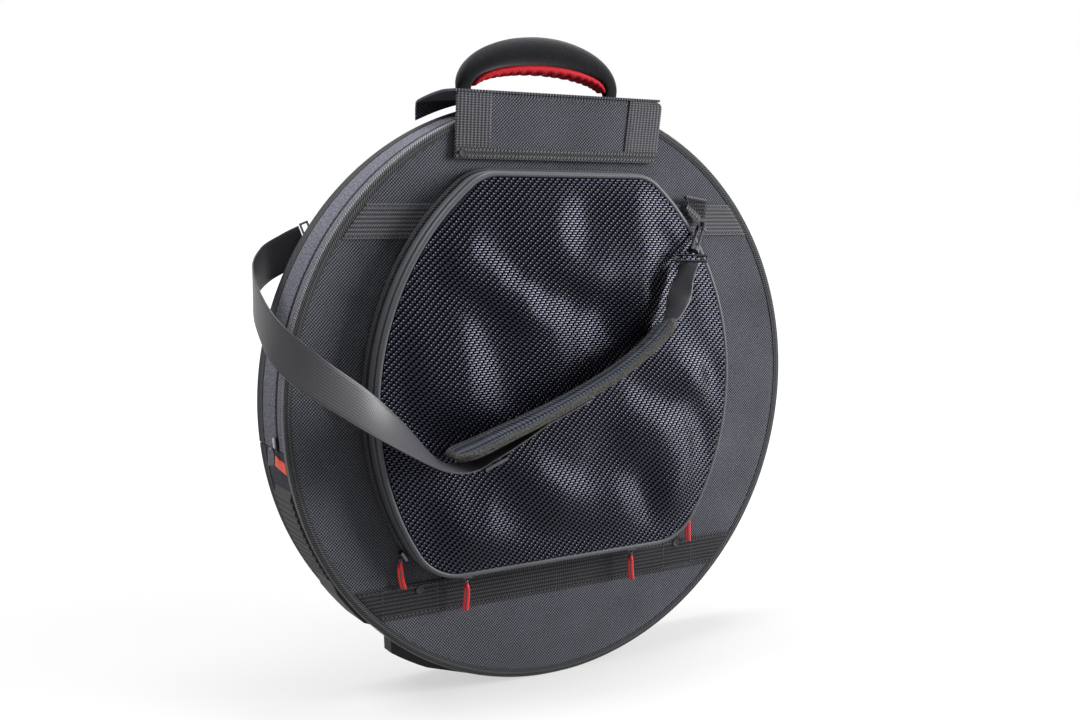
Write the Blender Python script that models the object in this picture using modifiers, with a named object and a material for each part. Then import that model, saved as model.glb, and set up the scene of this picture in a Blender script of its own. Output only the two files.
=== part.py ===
"""Round padded cymbal bag with a twin pocket, a top handle and a shoulder strap.

It stands on its front rim and its two feet.

Metres, +Z up. The bag is drawn from the centre of its front face: X to the right, Y into the depth, Z up.
The whole bag hangs under one empty, which puts the origin on the floor below the middle of its bounds.
"""

import math

import bmesh
import bpy
from mathutils import Matrix, Vector

BAG_NAME = "cymbal_bag"

# Whole bag: where the floor origin lies in the bag's own frame
MIDDLE_X = -0.0066
MIDDLE_Y = 0.0073

# Clearances
GAP = 0.0003
SLIDER_GAP = 0.0004
CUT_OVERRUN = 0.010

# Case: a round shell of two padded panels and a gusset
RIM_RADIUS = 0.3250
CASE_DEPTH = 0.0786
PANEL_THICKNESS = 0.0050
GUSSET_WALL = 0.0040
BINDING_PROUD = 0.0015
FACE_BINDING_WIDTH = 0.0090
FRONT_BINDING_DEPTH = 0.0090
REAR_BINDING_DEPTH = 0.0160
BINDING_CHAMFER = 0.0020
ZIP_LINE_Y = 0.0250
ZIP_TAPE_WIDTH = 0.0023
ZIP_TAPE_THICKNESS = 0.0022
ZIP_RECESS = 0.0012
CIRCLE_STEPS = 96

# Padded divider inside the case
DIVIDER_CLEARANCE = 0.0115
DIVIDER_THICKNESS = 0.0050
DIVIDER_SHARE = 0.49618

# Webbing bands sewn across the front face
BAND_WIDTH = 0.0360
BAND_THICKNESS = 0.0012

# Heights on the face, as shares of the rim's radius
FACE_SHARES = {"fold": -0.113846, "upper_band": 0.594769, "lower_band": -0.642154, "zip_end": -0.120000}

# Zip end tabs on the gusset, just below the ends of the main zip
TAB_HEIGHT = 0.0190
TAB_THICKNESS = 0.0012
TAB_FRONT_Y = 0.0085
TAB_REAR_CLEARANCE = 0.0126

# Rubber skids and feet on the gusset
SKID_START_DEG = -165.0
SKID_END_DEG = -147.0
SKID_FRONT_Y = 0.0100
SKID_REAR_CLEARANCE = 0.0066
SKID_THICKNESS = 0.0022
RIB_HEIGHT = 0.0014
RIB_SHARES = (0.0, 0.25, 0.55, 0.80)
SKID_RAMP_DEG = 2.0
RIB_COUNT = 13
BUMP_START_DEG = -144.0
BUMP_END_DEG = -136.0
BUMP_HEIGHT = 0.0048
FOOT_RAMP_DEG = 2.0
FOOT_START_DEG = -126.0
FOOT_TOE_DEG = -115.5
FOOT_END_DEG = -103.0
FOOT_HEIGHT = 0.0155
FOOT_FRONT_Y = 0.0430
FOOT_REAR_CLEARANCE = 0.0011
FOOT_HEEL = 0.0140

# Pocket: outline of the piping, and the layers from the front panel outwards
POCKET_X = -0.0110
POCKET_ARC_RADIUS = 0.2960
POCKET_ARC_Z = 0.0050
POCKET_TOP_FILLET = 0.0500
POCKET_BOTTOM_FILLET = 0.0650
SIDE_ARC_STEPS = 12
FILLET_STEPS = 6
POCKET_WALL = 0.0030
POCKET_BASE_PROUD = 0.0030
POCKET_SHEET = 0.0020
POCKET_BASE_DEPTH = 0.0057
POCKET_BASE_LEDGE = 0.0050
POCKET_ZIP_DEPTH = 0.0022
POCKET_ZIP_INSET = 0.0010
POCKET_BAND_DEPTH = 0.0112
POCKET_DIVIDER_RECESS = 0.0005
PIPING_RADIUS = 0.0032
PIPING_SINK = 0.0003
POCKET_FRONT_THICKNESS = 0.0030
POCKET_FRONT_PROUD = 0.0012
POCKET_HINGE_DROP = 0.0003

# Lines of the pocket's outline, as shares of its side arc's radius
POCKET_SHARES = {"top": 0.831081, "bottom": -0.621622, "arc_offset": 0.226351}

# Saddle over the rim, its front flap and the webbing on the flap
SADDLE_LEFT_X = -0.1370
SADDLE_RIGHT_X = 0.1310
SADDLE_OVERHANG = 0.0054
SADDLE_SHEET = 0.0026
SADDLE_LIFT = 0.0018
SADDLE_RISE = 0.0016
SADDLE_DROOP = 0.0090
SADDLE_LIP_CLEARANCE = 0.0060
SADDLE_LIP_SETBACK = 0.0012
SADDLE_COLUMNS = 16
SADDLE_ROWS = 5
FLAP_DROP = 0.0670
FLAP_SHEET = 0.0026
FLAP_TOP_LEFT_X = -0.1340
FLAP_TOP_RIGHT_X = 0.1290
FLAP_BOTTOM_LEFT_X = -0.1365
FLAP_BOTTOM_RIGHT_X = 0.1210
FLAP_STRIP_LEFT_WIDTH = 0.0410
FLAP_STRIP_RIGHT_WIDTH = 0.0450
FLAP_STRIP_SHEET = 0.0012
FLAP_BINDING_HEIGHT = 0.0120
FLAP_BINDING_SHEET = 0.0015

# Handle: a padded crescent with a lining, standing on the saddle
HANDLE_X = -0.0080
HANDLE_DEPTH_SHARE = 0.50891
HANDLE_HEIGHT = 0.0685
HANDLE_HALF_SPAN = 0.1040
HANDLE_END_WIDTH = 0.0180
HANDLE_CROWN = 0.0350
HANDLE_END_RADIUS = 0.0050
HANDLE_HALF_GRIP = 0.0175
LINING_CROWN = 0.0042
LINING_HALF_GRIP = 0.0150
HANDLE_STEPS = 16
LINING_START_DEG = 24.0

# Strap: webbing, sliding pad, adjuster and the neck up to the front hook
STRAP_WIDTH = 0.0380
STRAP_SHEET = 0.0016
NECK_WIDTH = 0.0340
PAD_WIDTH = 0.0520
PAD_THICKNESS = 0.0100
PAD_EDGE = 0.0030
ADJUSTER_LENGTH = 0.0280
ADJUSTER_WIDTH = 0.0460
ADJUSTER_WIRE = 0.0030
STRAP_STANDOFF = 0.0020
ADJUSTER_SLOPE_DEG = 20.7

# Strap rings, snap hooks and the webbing tabs that hold the rings
RING_WIRE = 0.0018
RING_HALF_WIDTH = 0.0160
RING_DEPTH = 0.0345
TAB_LOOP_WALL = 0.0012
TAB_LOOP_CLEARANCE = 0.0004
TAB_SHEET = 0.0026
TAB_HALF_WIDTH = 0.0120
TAB_REACH = 0.0230
HOOK_WIRE = 0.0019
HOOK_BEND = 0.0050
HOOK_LEG = 0.0300
HOOK_NOSE = 0.0060
GATE_WIRE = 0.0015
GATE_GAP = 0.0006
COLLAR_RADIUS = 0.0063
COLLAR_LENGTH = 0.0060
SWIVEL_RADIUS = 0.0022
SWIVEL_LENGTH = 0.0045
EYE_HALF_WIDTH = 0.0190
EYE_HEIGHT = 0.0080
EYE_WIRE = 0.0018
FRONT_BAR_STANDOFF = 0.0044
FRONT_BAR_RISE = 0.0068
FRONT_BAR_CLEARANCE = 0.0291
REAR_BAR_STANDOFF = 0.0061
TUBE_RESOLUTION = 2

# Zip sliders and pulls
SLIDER_LENGTH = 0.0120
SLIDER_WIDTH = 0.0080
SLIDER_HEIGHT = 0.0040
SLIDER_EDGE = 0.0010
PULL_LENGTH = 0.0350
PULL_WIDTH = 0.0070
PULL_THICKNESS = 0.0034
PULL_EYE_DROP = 0.0022
PULL_EDGE = 0.0010
MAIN_PULL_LENGTH = 0.0240
MAIN_SLIDER_RISE = 0.0080
FRONT_SLIDER_LEFT_SET = 0.0104
FRONT_SLIDER_RIGHT_SET = 0.0284

# Finishes: colour, roughness, metallic
FINISHES = {
    "nylon": ((0.030, 0.032, 0.037), 0.85, 0.0),
    "gusset_nylon": ((0.045, 0.047, 0.055), 0.85, 0.0),
    "binding": ((0.028, 0.028, 0.029), 0.80, 0.0),
    "webbing": ((0.016, 0.016, 0.018), 0.80, 0.0),
    "strap_webbing": ((0.040, 0.040, 0.042), 0.60, 0.0),
    "carbon_vinyl": ((0.012, 0.013, 0.018), 0.30, 0.0),
    "grey_vinyl": ((0.095, 0.098, 0.105), 0.50, 0.0),
    "rubber": ((0.014, 0.014, 0.015), 0.70, 0.0),
    "padding": ((0.050, 0.050, 0.055), 0.90, 0.0),
    "velour": ((0.012, 0.013, 0.017), 0.95, 0.0),
    "red_cloth": ((0.560, 0.015, 0.020), 0.75, 0.0),
    "red_pull": ((0.620, 0.020, 0.025), 0.50, 0.0),
    "orange_cloth": ((0.870, 0.110, 0.030), 0.70, 0.0),
    "black_chrome": ((0.090, 0.092, 0.095), 0.18, 1.0),
    "zip_tape": ((0.014, 0.014, 0.016), 0.80, 0.0),
    "mesh_pad": ((0.040, 0.045, 0.055), 0.90, 0.0),
}

# Sizes that follow from the ones above
FLOOR_Z = -RIM_RADIUS
CHORD_Z = RIM_RADIUS * FACE_SHARES["fold"]
UPPER_BAND_Z = RIM_RADIUS * FACE_SHARES["upper_band"]
LOWER_BAND_Z = RIM_RADIUS * FACE_SHARES["lower_band"]
TAB_TOP_Z = RIM_RADIUS * FACE_SHARES["zip_end"]
MAIN_SLIDER_Z = CHORD_Z + MAIN_SLIDER_RISE
POCKET_TOP_Z = POCKET_ARC_RADIUS * POCKET_SHARES["top"]
POCKET_BOTTOM_Z = POCKET_ARC_RADIUS * POCKET_SHARES["bottom"]
POCKET_ARC_OFFSET = POCKET_ARC_RADIUS * POCKET_SHARES["arc_offset"]
FACE_RADIUS = RIM_RADIUS - FACE_BINDING_WIDTH
GUSSET_OUTER = RIM_RADIUS - BINDING_PROUD
GUSSET_INNER = GUSSET_OUTER - GUSSET_WALL
DIVIDER_RADIUS = GUSSET_INNER - DIVIDER_CLEARANCE
DIVIDER_Y = CASE_DEPTH * DIVIDER_SHARE
FOOT_RADIUS = GUSSET_OUTER + FOOT_HEIGHT
REAR_BINDING_Y = CASE_DEPTH - REAR_BINDING_DEPTH
TAB_REAR_Y = REAR_BINDING_Y - TAB_REAR_CLEARANCE
SKID_REAR_Y = REAR_BINDING_Y - SKID_REAR_CLEARANCE
FOOT_REAR_Y = REAR_BINDING_Y - FOOT_REAR_CLEARANCE
HANDLE_Y = CASE_DEPTH * HANDLE_DEPTH_SHARE
HANDLE_TOP_Z = RIM_RADIUS + HANDLE_HEIGHT
FLAP_BOTTOM_Z = RIM_RADIUS - FLAP_DROP
SADDLE_REAR_Y = CASE_DEPTH + SADDLE_OVERHANG
BACK_Y = CASE_DEPTH + BINDING_PROUD
LID_AXIS_Y = BACK_Y + GAP
LID_AXIS_Z = CHORD_Z - GAP
FRONT_GUSSET_Y = FRONT_BINDING_DEPTH - BINDING_PROUD + GAP
REAR_PANEL_Y = CASE_DEPTH - PANEL_THICKNESS
POCKET_BASE_Y = -BAND_THICKNESS - 2.0 * GAP
POCKET_REAR_AXIS_Y = POCKET_BASE_Y - POCKET_BASE_DEPTH - GAP
POCKET_BAND_Y = POCKET_REAR_AXIS_Y - POCKET_ZIP_DEPTH - 2.0 * GAP
POCKET_FRONT_AXIS_Y = POCKET_BAND_Y - POCKET_BAND_DEPTH - GAP
PIPING_Y = POCKET_FRONT_AXIS_Y - POCKET_ZIP_DEPTH - 2.0 * GAP - PIPING_RADIUS
POCKET_AXIS_Z = POCKET_BOTTOM_Z - POCKET_HINGE_DROP
POCKET_FRONT_NEAR = PIPING_Y - PIPING_RADIUS - POCKET_FRONT_PROUD
PAD_Y = POCKET_FRONT_NEAR - STRAP_STANDOFF - PAD_WIDTH / 2.0
FLAP_BACK_Y = -BINDING_PROUD - GAP
FLAP_FRONT_Y = FLAP_BACK_Y - FLAP_SHEET
FLAP_TRIM_Y = FLAP_FRONT_Y - GAP - FLAP_BINDING_SHEET
SADDLE_UNDER_Z = RIM_RADIUS + SADDLE_LIFT
FLAP_TOP_Z = SADDLE_UNDER_Z - GAP
SADDLE_MIDDLE_X = (SADDLE_LEFT_X + SADDLE_RIGHT_X) / 2.0
SADDLE_HALF = (SADDLE_RIGHT_X - SADDLE_LEFT_X) / 2.0


def clear_scene():
    """Remove every object that is in the scene."""
    for old in list(bpy.data.objects):
        bpy.data.objects.remove(old, do_unlink=True)


def new_collection(name):
    """Return a new collection linked to the scene."""
    found = bpy.data.collections.new(name)
    bpy.context.scene.collection.children.link(found)
    return found


clear_scene()
PARTS = new_collection(BAG_NAME)
CUTTERS = new_collection("cutters")
MATERIALS = {}


def finish(name):
    """Return the Principled material with this name, made once."""
    if name not in MATERIALS:
        colour, roughness, metallic = FINISHES[name]
        made = bpy.data.materials.new(name)
        made.use_nodes = True
        shader = made.node_tree.nodes["Principled BSDF"]
        shader.inputs["Base Color"].default_value = (*colour, 1.0)
        shader.inputs["Roughness"].default_value = roughness
        shader.inputs["Metallic"].default_value = metallic
        MATERIALS[name] = made
    return MATERIALS[name]


def new_body(name, pivot, parent=None):
    """Return an empty on a joint's axis; pivot is in the bag's frame."""
    body = bpy.data.objects.new(name, None)
    PARTS.objects.link(body)
    body.empty_display_size = SLIDER_LENGTH
    body["pivot"] = tuple(pivot)
    body.parent = parent
    origin = Vector(parent["pivot"]) if parent else Vector((0.0, 0.0, 0.0))
    body.location = Vector(pivot) - origin
    return body


def add_part(name, data, body, material, matrix=Matrix.Identity(4)):
    """Put object data that is drawn in the bag's frame under its body."""
    part = bpy.data.objects.new(name, data)
    PARTS.objects.link(part)
    data.materials.append(finish(material))
    part.parent = body
    part.matrix_local = Matrix.Translation(-Vector(body["pivot"])) @ matrix
    return part


def mesh_from(bm, name):
    """Turn a bmesh into a mesh with its faces pointing out."""
    bmesh.ops.recalc_face_normals(bm, faces=bm.faces[:])
    mesh = bpy.data.meshes.new(name)
    bm.to_mesh(mesh)
    bm.free()
    return mesh


def shade_round(part):
    """Shade a round piece smooth apart from its sharp edges."""
    part.data.shade_smooth()
    part.data.set_sharp_from_angle(angle=math.radians(40.0))


def bevel(part, width, segments=1):
    """Round the sharp edges of a part."""
    rounding = part.modifiers.new("edges", "BEVEL")
    rounding.width = width
    rounding.segments = segments
    rounding.limit_method = "ANGLE"
    rounding.angle_limit = math.radians(40.0)


def polar(radius, degrees, centre=(0.0, 0.0)):
    """Return (x, z) on a circle; 0 degrees is +X and 90 degrees is +Z."""
    angle = math.radians(degrees)
    return (centre[0] + radius * math.cos(angle), centre[1] + radius * math.sin(angle))


def arc(radius, start, end, steps, centre=(0.0, 0.0)):
    """Return steps + 1 points along an arc."""
    return [polar(radius, start + (end - start) * i / steps, centre) for i in range(steps + 1)]


def chord_degrees(radius, height):
    """Angle at which a circle of this radius reaches this height."""
    return math.degrees(math.asin(height / radius))


def arc_steps(span):
    """Number of steps for an arc of this many degrees."""
    return max(2, round(CIRCLE_STEPS * abs(span) / 360.0))


def ring(name, profile, body, material, start=0.0, end=360.0):
    """Sweep a closed (radius, y) profile round the Y axis from start to end degrees."""
    bm = bmesh.new()
    whole = end - start >= 360.0
    verts = [bm.verts.new((polar(r, start)[0], y, polar(r, start)[1])) for r, y in profile]
    edges = [bm.edges.new((verts[i - 1], verts[i])) for i in range(len(verts))]
    swept = verts + edges if whole else verts + edges + [bm.faces.new(verts)]
    bmesh.ops.spin(
        bm,
        geom=swept,
        cent=(0.0, 0.0, 0.0),
        axis=(0.0, -1.0, 0.0),
        angle=math.radians(end - start),
        steps=arc_steps(end - start),
        use_merge=whole,
    )
    part = add_part(name, mesh_from(bm, name), body, material)
    shade_round(part)
    return part


def curve_data(name, dimensions):
    """Return an empty curve of the given kind."""
    data = bpy.data.curves.new(name, "CURVE")
    data.dimensions = dimensions
    return data


def add_outline(data, points):
    """Add one closed flat outline to a 2D curve."""
    spline = data.splines.new("POLY")
    spline.points.add(len(points) - 1)
    for point, (u, v) in zip(spline.points, points):
        point.co = (u, v, 0.0, 1.0)
    spline.use_cyclic_u = True


def flat(name, outlines, near, far, body, material, frame=None):
    """Extrude flat outlines. Without a frame they lie in XZ, between the depths near and far."""
    data = curve_data(name, "2D")
    data.fill_mode = "BOTH"
    data.extrude = abs(far - near) / 2.0
    for points in outlines:
        add_outline(data, points)
    if frame is None:
        frame = Matrix.Rotation(math.radians(90.0), 4, "X")
    middle = Matrix.Translation((0.0, 0.0, -(near + far) / 2.0))
    return add_part(name, data, body, material, frame @ middle)


def as_mesh(part):
    """Replace a curve object by a welded mesh object of the same name and place."""
    graph = bpy.context.evaluated_depsgraph_get()
    mesh = bpy.data.meshes.new_from_object(part.evaluated_get(graph))
    bm = bmesh.new()
    bm.from_mesh(mesh)
    bmesh.ops.remove_doubles(bm, verts=bm.verts[:], dist=GAP / 30.0)
    bmesh.ops.recalc_face_normals(bm, faces=bm.faces[:])
    bm.to_mesh(mesh)
    bm.free()
    name, parent, local = part.name, part.parent, part.matrix_local.copy()
    bpy.data.objects.remove(part, do_unlink=True)
    made = bpy.data.objects.new(name, mesh)
    PARTS.objects.link(made)
    made.parent = parent
    made.matrix_local = local
    return made


def combine(part, other, operation):
    """Cut or join a part with another object, which becomes a hidden helper."""
    PARTS.objects.unlink(other)
    CUTTERS.objects.link(other)
    other.hide_render = True
    other.display_type = "WIRE"
    change = part.modifiers.new(operation.lower(), "BOOLEAN")
    change.operation = operation
    change.solver = "EXACT"
    change.object = other


def tube(name, points, radius, body, material, closed=False, frame=Matrix.Identity(4)):
    """Make a round wire along points given in the frame."""
    data = curve_data(name, "3D")
    spline = data.splines.new("POLY")
    spline.points.add(len(points) - 1)
    for point, place in zip(spline.points, points):
        point.co = (*place, 1.0)
    spline.use_cyclic_u = closed
    data.bevel_depth = radius
    data.bevel_resolution = TUBE_RESOLUTION
    data.use_fill_caps = not closed
    return add_part(name, data, body, material, frame)


def ribbon(name, stations, width, thickness, edge, body, material):
    """Sweep a flat section along (point, tilt in degrees) stations; tilt 0 lays its width level."""
    half, thin = width / 2.0, thickness / 2.0
    section = curve_data(name + "_section", "2D")
    add_outline(
        section,
        [
            (-half, thin - edge),
            (-half + edge, thin),
            (half - edge, thin),
            (half, thin - edge),
            (half, -thin + edge),
            (half - edge, -thin),
            (-half + edge, -thin),
            (-half, -thin + edge),
        ],
    )
    guide = bpy.data.objects.new(name + "_section", section)
    CUTTERS.objects.link(guide)
    guide.hide_render = True
    guide.display_type = "WIRE"
    data = curve_data(name, "3D")
    data.twist_mode = "Z_UP"
    data.bevel_mode = "OBJECT"
    data.bevel_object = guide
    data.use_fill_caps = True
    spline = data.splines.new("POLY")
    spline.points.add(len(stations) - 1)
    for point, (place, tilt) in zip(spline.points, stations):
        point.co = (*place, 1.0)
        point.tilt = math.radians(tilt)
    made = as_mesh(add_part(name, data, body, material))
    made.modifiers.new("flat_faces", "TRIANGULATE")
    return made


def smooth_stations(stations, steps):
    """Pass a Catmull-Rom curve through (point, tilt) stations, with this many steps in each span."""
    rows = [Vector((*place, tilt)) for place, tilt in stations]
    rows = [rows[0] * 2.0 - rows[1]] + rows + [rows[-1] * 2.0 - rows[-2]]
    found = []
    for i in range(1, len(rows) - 2):
        before, a, b, after = rows[i - 1 : i + 3]
        for k in range(steps):
            t = k / steps
            bend = (before * 2.0 - a * 5.0 + b * 4.0 - after) * t * t
            turn = (a * 3.0 - before - b * 3.0 + after) * t**3
            found.append((a * 2.0 + (b - before) * t + bend + turn) / 2.0)
    found.append(rows[-2])
    return [(row[:3], row[3]) for row in found]


def box(name, size, body, material, frame):
    """Make a box of the given size about the origin of a frame."""
    bm = bmesh.new()
    bmesh.ops.create_cube(bm, size=1.0)
    bmesh.ops.scale(bm, vec=size, verts=bm.verts[:])
    return add_part(name, mesh_from(bm, name), body, material, frame)


def cylinder(name, radius, length, body, material, frame, segments=20):
    """Make a cylinder about the Z axis of a frame."""
    bm = bmesh.new()
    bmesh.ops.create_cone(
        bm, cap_ends=True, segments=segments, radius1=radius, radius2=radius, depth=length
    )
    part = add_part(name, mesh_from(bm, name), body, material, frame)
    shade_round(part)
    return part


def loft(name, sections, body, material):
    """Skin closed sections of equal point count, from the first cap to the last."""
    bm = bmesh.new()
    rows = [[bm.verts.new(place) for place in section] for section in sections]
    count = len(rows[0])
    for low, high in zip(rows, rows[1:]):
        for i in range(count):
            bm.faces.new((low[i - 1], low[i], high[i], high[i - 1]))
    bm.faces.new(rows[0])
    bm.faces.new(rows[-1])
    part = add_part(name, mesh_from(bm, name), body, material)
    shade_round(part)
    return part


def axes_frame(origin, x_axis, z_axis):
    """Matrix whose Z follows z_axis and whose X follows x_axis, made square to Z."""
    z = Vector(z_axis).normalized()
    x = Vector(x_axis)
    x = (x - z * x.dot(z)).normalized()
    turned = Matrix((x, z.cross(x), z)).transposed().to_4x4()
    return Matrix.Translation(origin) @ turned


# Root body: the front half of the case, which also carries the strap, saddle and pocket base
ROOT = new_body("case_front", (0.0, 0.0, 0.0))
LID = new_body("case_back", (0.0, LID_AXIS_Y, LID_AXIS_Z), ROOT)


def chamfered(inner, outer, near, far, chamfer):
    """(radius, y) profile with its two outer corners cut off."""
    return [
        (inner, near),
        (outer - chamfer, near),
        (outer, near + chamfer),
        (outer, far - chamfer),
        (outer - chamfer, far),
        (inner, far),
    ]


def rear_binding_profile():
    """L-shaped (radius, y) profile of the tape round the back edge of the case."""
    cover = GUSSET_OUTER + GAP
    return [
        (FACE_RADIUS, REAR_PANEL_Y),
        (cover, REAR_PANEL_Y),
        (cover, REAR_BINDING_Y),
        (RIM_RADIUS, REAR_BINDING_Y),
        (RIM_RADIUS, BACK_Y - BINDING_CHAMFER),
        (RIM_RADIUS - BINDING_CHAMFER, BACK_Y),
        (FACE_RADIUS, BACK_Y),
    ]


def case_disc(name, radius, near, far, body, material):
    """Full round panel in the XZ plane."""
    flat(name, [arc(radius, 0.0, 360.0, CIRCLE_STEPS)[:-1]], near, far, body, material)


def half_disc(name, radius, side, near, far, body, material):
    """Panel above (side 1) or below (side -1) the fold line."""
    edge = CHORD_Z + side * GAP
    start = chord_degrees(radius, edge)
    end = 180.0 - start
    if side < 0:
        start, end = end, 360.0 + start
    points = arc(radius, start, end, arc_steps(end - start))
    flat(name, [points], near, far, body, material)


def half_ring(name, profile, side, body, material):
    """Ring above or below the fold line, clear of it at every radius."""
    edge = CHORD_Z + side * GAP
    tight = max(r for r, _ in profile) if side > 0 else min(r for r, _ in profile)
    start = chord_degrees(tight, edge)
    end = 180.0 - start
    if side < 0:
        start, end = end, 360.0 + start
    ring(name, profile, body, material, start, end)


def build_case():
    """Panels, gussets, bindings and the two halves of the main zip."""
    panel_radius = FACE_RADIUS - GAP
    case_disc("front_panel", panel_radius, 0.0, PANEL_THICKNESS, ROOT, "nylon")
    front_end = FRONT_BINDING_DEPTH - BINDING_PROUD
    ring(
        "front_binding",
        chamfered(FACE_RADIUS, RIM_RADIUS, -BINDING_PROUD, front_end, BINDING_CHAMFER),
        ROOT,
        "binding",
    )
    tape_front = ZIP_LINE_Y - GAP - ZIP_TAPE_WIDTH
    tape_back = ZIP_LINE_Y + GAP + ZIP_TAPE_WIDTH
    tape_outer = GUSSET_OUTER - ZIP_RECESS
    tape_inner = tape_outer - ZIP_TAPE_THICKNESS

    def wall(near, far):
        return [(GUSSET_INNER, near), (GUSSET_OUTER, near), (GUSSET_OUTER, far), (GUSSET_INNER, far)]

    def tape(near, far):
        return [(tape_inner, near), (tape_outer, near), (tape_outer, far), (tape_inner, far)]

    rear_end = REAR_PANEL_Y - GAP
    half_ring("front_gusset", wall(FRONT_GUSSET_Y, tape_front - GAP), 1, ROOT, "gusset_nylon")
    half_ring("front_zip_tape", tape(tape_front, ZIP_LINE_Y - GAP), 1, ROOT, "zip_tape")
    half_ring("rear_zip_tape", tape(ZIP_LINE_Y + GAP, tape_back), 1, LID, "zip_tape")
    half_ring("rear_gusset", wall(tape_back + GAP, rear_end), 1, LID, "gusset_nylon")
    half_ring("lower_gusset", wall(FRONT_GUSSET_Y, rear_end), -1, ROOT, "gusset_nylon")
    half_ring("upper_back_binding", rear_binding_profile(), 1, LID, "binding")
    half_ring("lower_back_binding", rear_binding_profile(), -1, ROOT, "binding")
    half_disc("upper_back_panel", panel_radius, 1, REAR_PANEL_Y, CASE_DEPTH, LID, "nylon")
    half_disc("lower_back_panel", panel_radius, -1, REAR_PANEL_Y, CASE_DEPTH, ROOT, "nylon")


def build_divider():
    """Padded disc that stands between two cymbals on the bottom of the case."""
    rest_z = DIVIDER_RADIUS - GUSSET_INNER + GAP
    points = arc(DIVIDER_RADIUS, 0.0, 360.0, CIRCLE_STEPS, (0.0, rest_z))[:-1]
    flat("padded_divider", [points], DIVIDER_Y, DIVIDER_Y + DIVIDER_THICKNESS, ROOT, "padding")


def build_bands():
    """Two webbing bands across the front panel, cut to the binding at both ends."""
    reach = FACE_RADIUS - 2.0 * GAP
    for name, middle in (("upper_band", UPPER_BAND_Z), ("lower_band", LOWER_BAND_Z)):
        low, high = middle - BAND_WIDTH / 2.0, middle + BAND_WIDTH / 2.0
        right = arc(reach, chord_degrees(reach, low), chord_degrees(reach, high), FILLET_STEPS)
        left = [(-x, z) for x, z in reversed(right)]
        flat(name, [right + left], -GAP - BAND_THICKNESS, -GAP, ROOT, "webbing")


def mirrored(points, side):
    """Outline for the left (side -1) or right (side 1) of the bag, drawn on the left."""
    return points if side < 0 else [(-x, z) for x, z in reversed(points)]


def build_gusset_trim():
    """End tabs of the zip, ribbed skids with their bump, and feet, on both sides."""
    seat = GUSSET_OUTER + GAP
    for side, word in ((-1, "left"), (1, "right")):
        top = 180.0 - chord_degrees(seat, TAB_TOP_Z)
        low = 180.0 - chord_degrees(seat, TAB_TOP_Z - TAB_HEIGHT)
        tab = arc(seat, top, low, 2) + arc(seat + TAB_THICKNESS, low, top, 2)
        name = "zip_end_tab_" + word
        flat(name, [mirrored(tab, side)], TAB_FRONT_Y, TAB_REAR_Y, ROOT, "orange_cloth")

        teeth = []
        pitch = (SKID_END_DEG - SKID_START_DEG) / RIB_COUNT
        base, crest = seat + SKID_THICKNESS, seat + SKID_THICKNESS + RIB_HEIGHT
        for i in range(RIB_COUNT):
            for level, share in zip((base, crest, crest, base), RIB_SHARES):
                teeth.append(polar(level, SKID_START_DEG + pitch * (i + share)))
        bump = arc(seat + BUMP_HEIGHT, BUMP_START_DEG, BUMP_END_DEG, 3)
        teeth += [polar(base, BUMP_START_DEG - SKID_RAMP_DEG)] + bump
        low, top = BUMP_END_DEG + SKID_RAMP_DEG, SKID_START_DEG - SKID_RAMP_DEG / 2.0
        inner = arc(seat, low, top, arc_steps(top - low))
        skid = mirrored(inner + teeth, side)
        flat("skid_" + word, [skid], SKID_FRONT_Y, SKID_REAR_Y, ROOT, "rubber")

        sole = arc(FOOT_RADIUS, FOOT_START_DEG + FOOT_RAMP_DEG, FOOT_TOE_DEG, 4)
        heel_x, _ = polar(RIM_RADIUS, FOOT_END_DEG)
        sole += [(heel_x - FOOT_HEEL, FLOOR_Z), (heel_x, FLOOR_Z)]
        inner = arc(seat, FOOT_END_DEG, FOOT_START_DEG, 6)
        foot = mirrored(inner + sole, side)
        flat("foot_" + word, [foot], FOOT_FRONT_Y, FOOT_REAR_Y, ROOT, "rubber")


def pocket_corner(fillet, line_z):
    """Centre (from the pocket's middle) of a corner fillet and its two end angles, right side."""
    toward = 1.0 if line_z > POCKET_ARC_Z else -1.0
    z = line_z - toward * fillet
    reach = POCKET_ARC_RADIUS - fillet
    x = math.sqrt(reach**2 - (z - POCKET_ARC_Z) ** 2) - POCKET_ARC_OFFSET
    lean = math.degrees(math.atan2(z - POCKET_ARC_Z, x + POCKET_ARC_OFFSET))
    return (x, z), lean, toward * 90.0


def pocket_outline(inset):
    """Closed outline of the pocket, this far inside its outer edge, anticlockwise from below."""
    low_centre, low_lean, low_end = pocket_corner(POCKET_BOTTOM_FILLET, POCKET_BOTTOM_Z)
    top_centre, top_lean, top_end = pocket_corner(POCKET_TOP_FILLET, POCKET_TOP_Z)
    side_centre = (-POCKET_ARC_OFFSET, POCKET_ARC_Z)
    low = arc(POCKET_BOTTOM_FILLET - inset, low_end, low_lean, FILLET_STEPS, low_centre)
    side = arc(POCKET_ARC_RADIUS - inset, low_lean, top_lean, SIDE_ARC_STEPS, side_centre)
    top = arc(POCKET_TOP_FILLET - inset, top_lean, top_end, FILLET_STEPS, top_centre)
    right = low + side[1:-1] + top
    left = [(-x, z) for x, z in reversed(right)]
    return [(x + POCKET_X, z) for x, z in right + left]


def pocket_edge(z):
    """Where the pocket's right side lies at a height."""
    return POCKET_X - POCKET_ARC_OFFSET + math.sqrt(POCKET_ARC_RADIUS**2 - (z - POCKET_ARC_Z) ** 2)


POCKET_REAR = new_body("pocket_rear", (POCKET_X, POCKET_REAR_AXIS_Y, POCKET_AXIS_Z), ROOT)
POCKET_FRONT = new_body("pocket_front", (POCKET_X, POCKET_FRONT_AXIS_Y, POCKET_AXIS_Z), POCKET_REAR)


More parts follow.
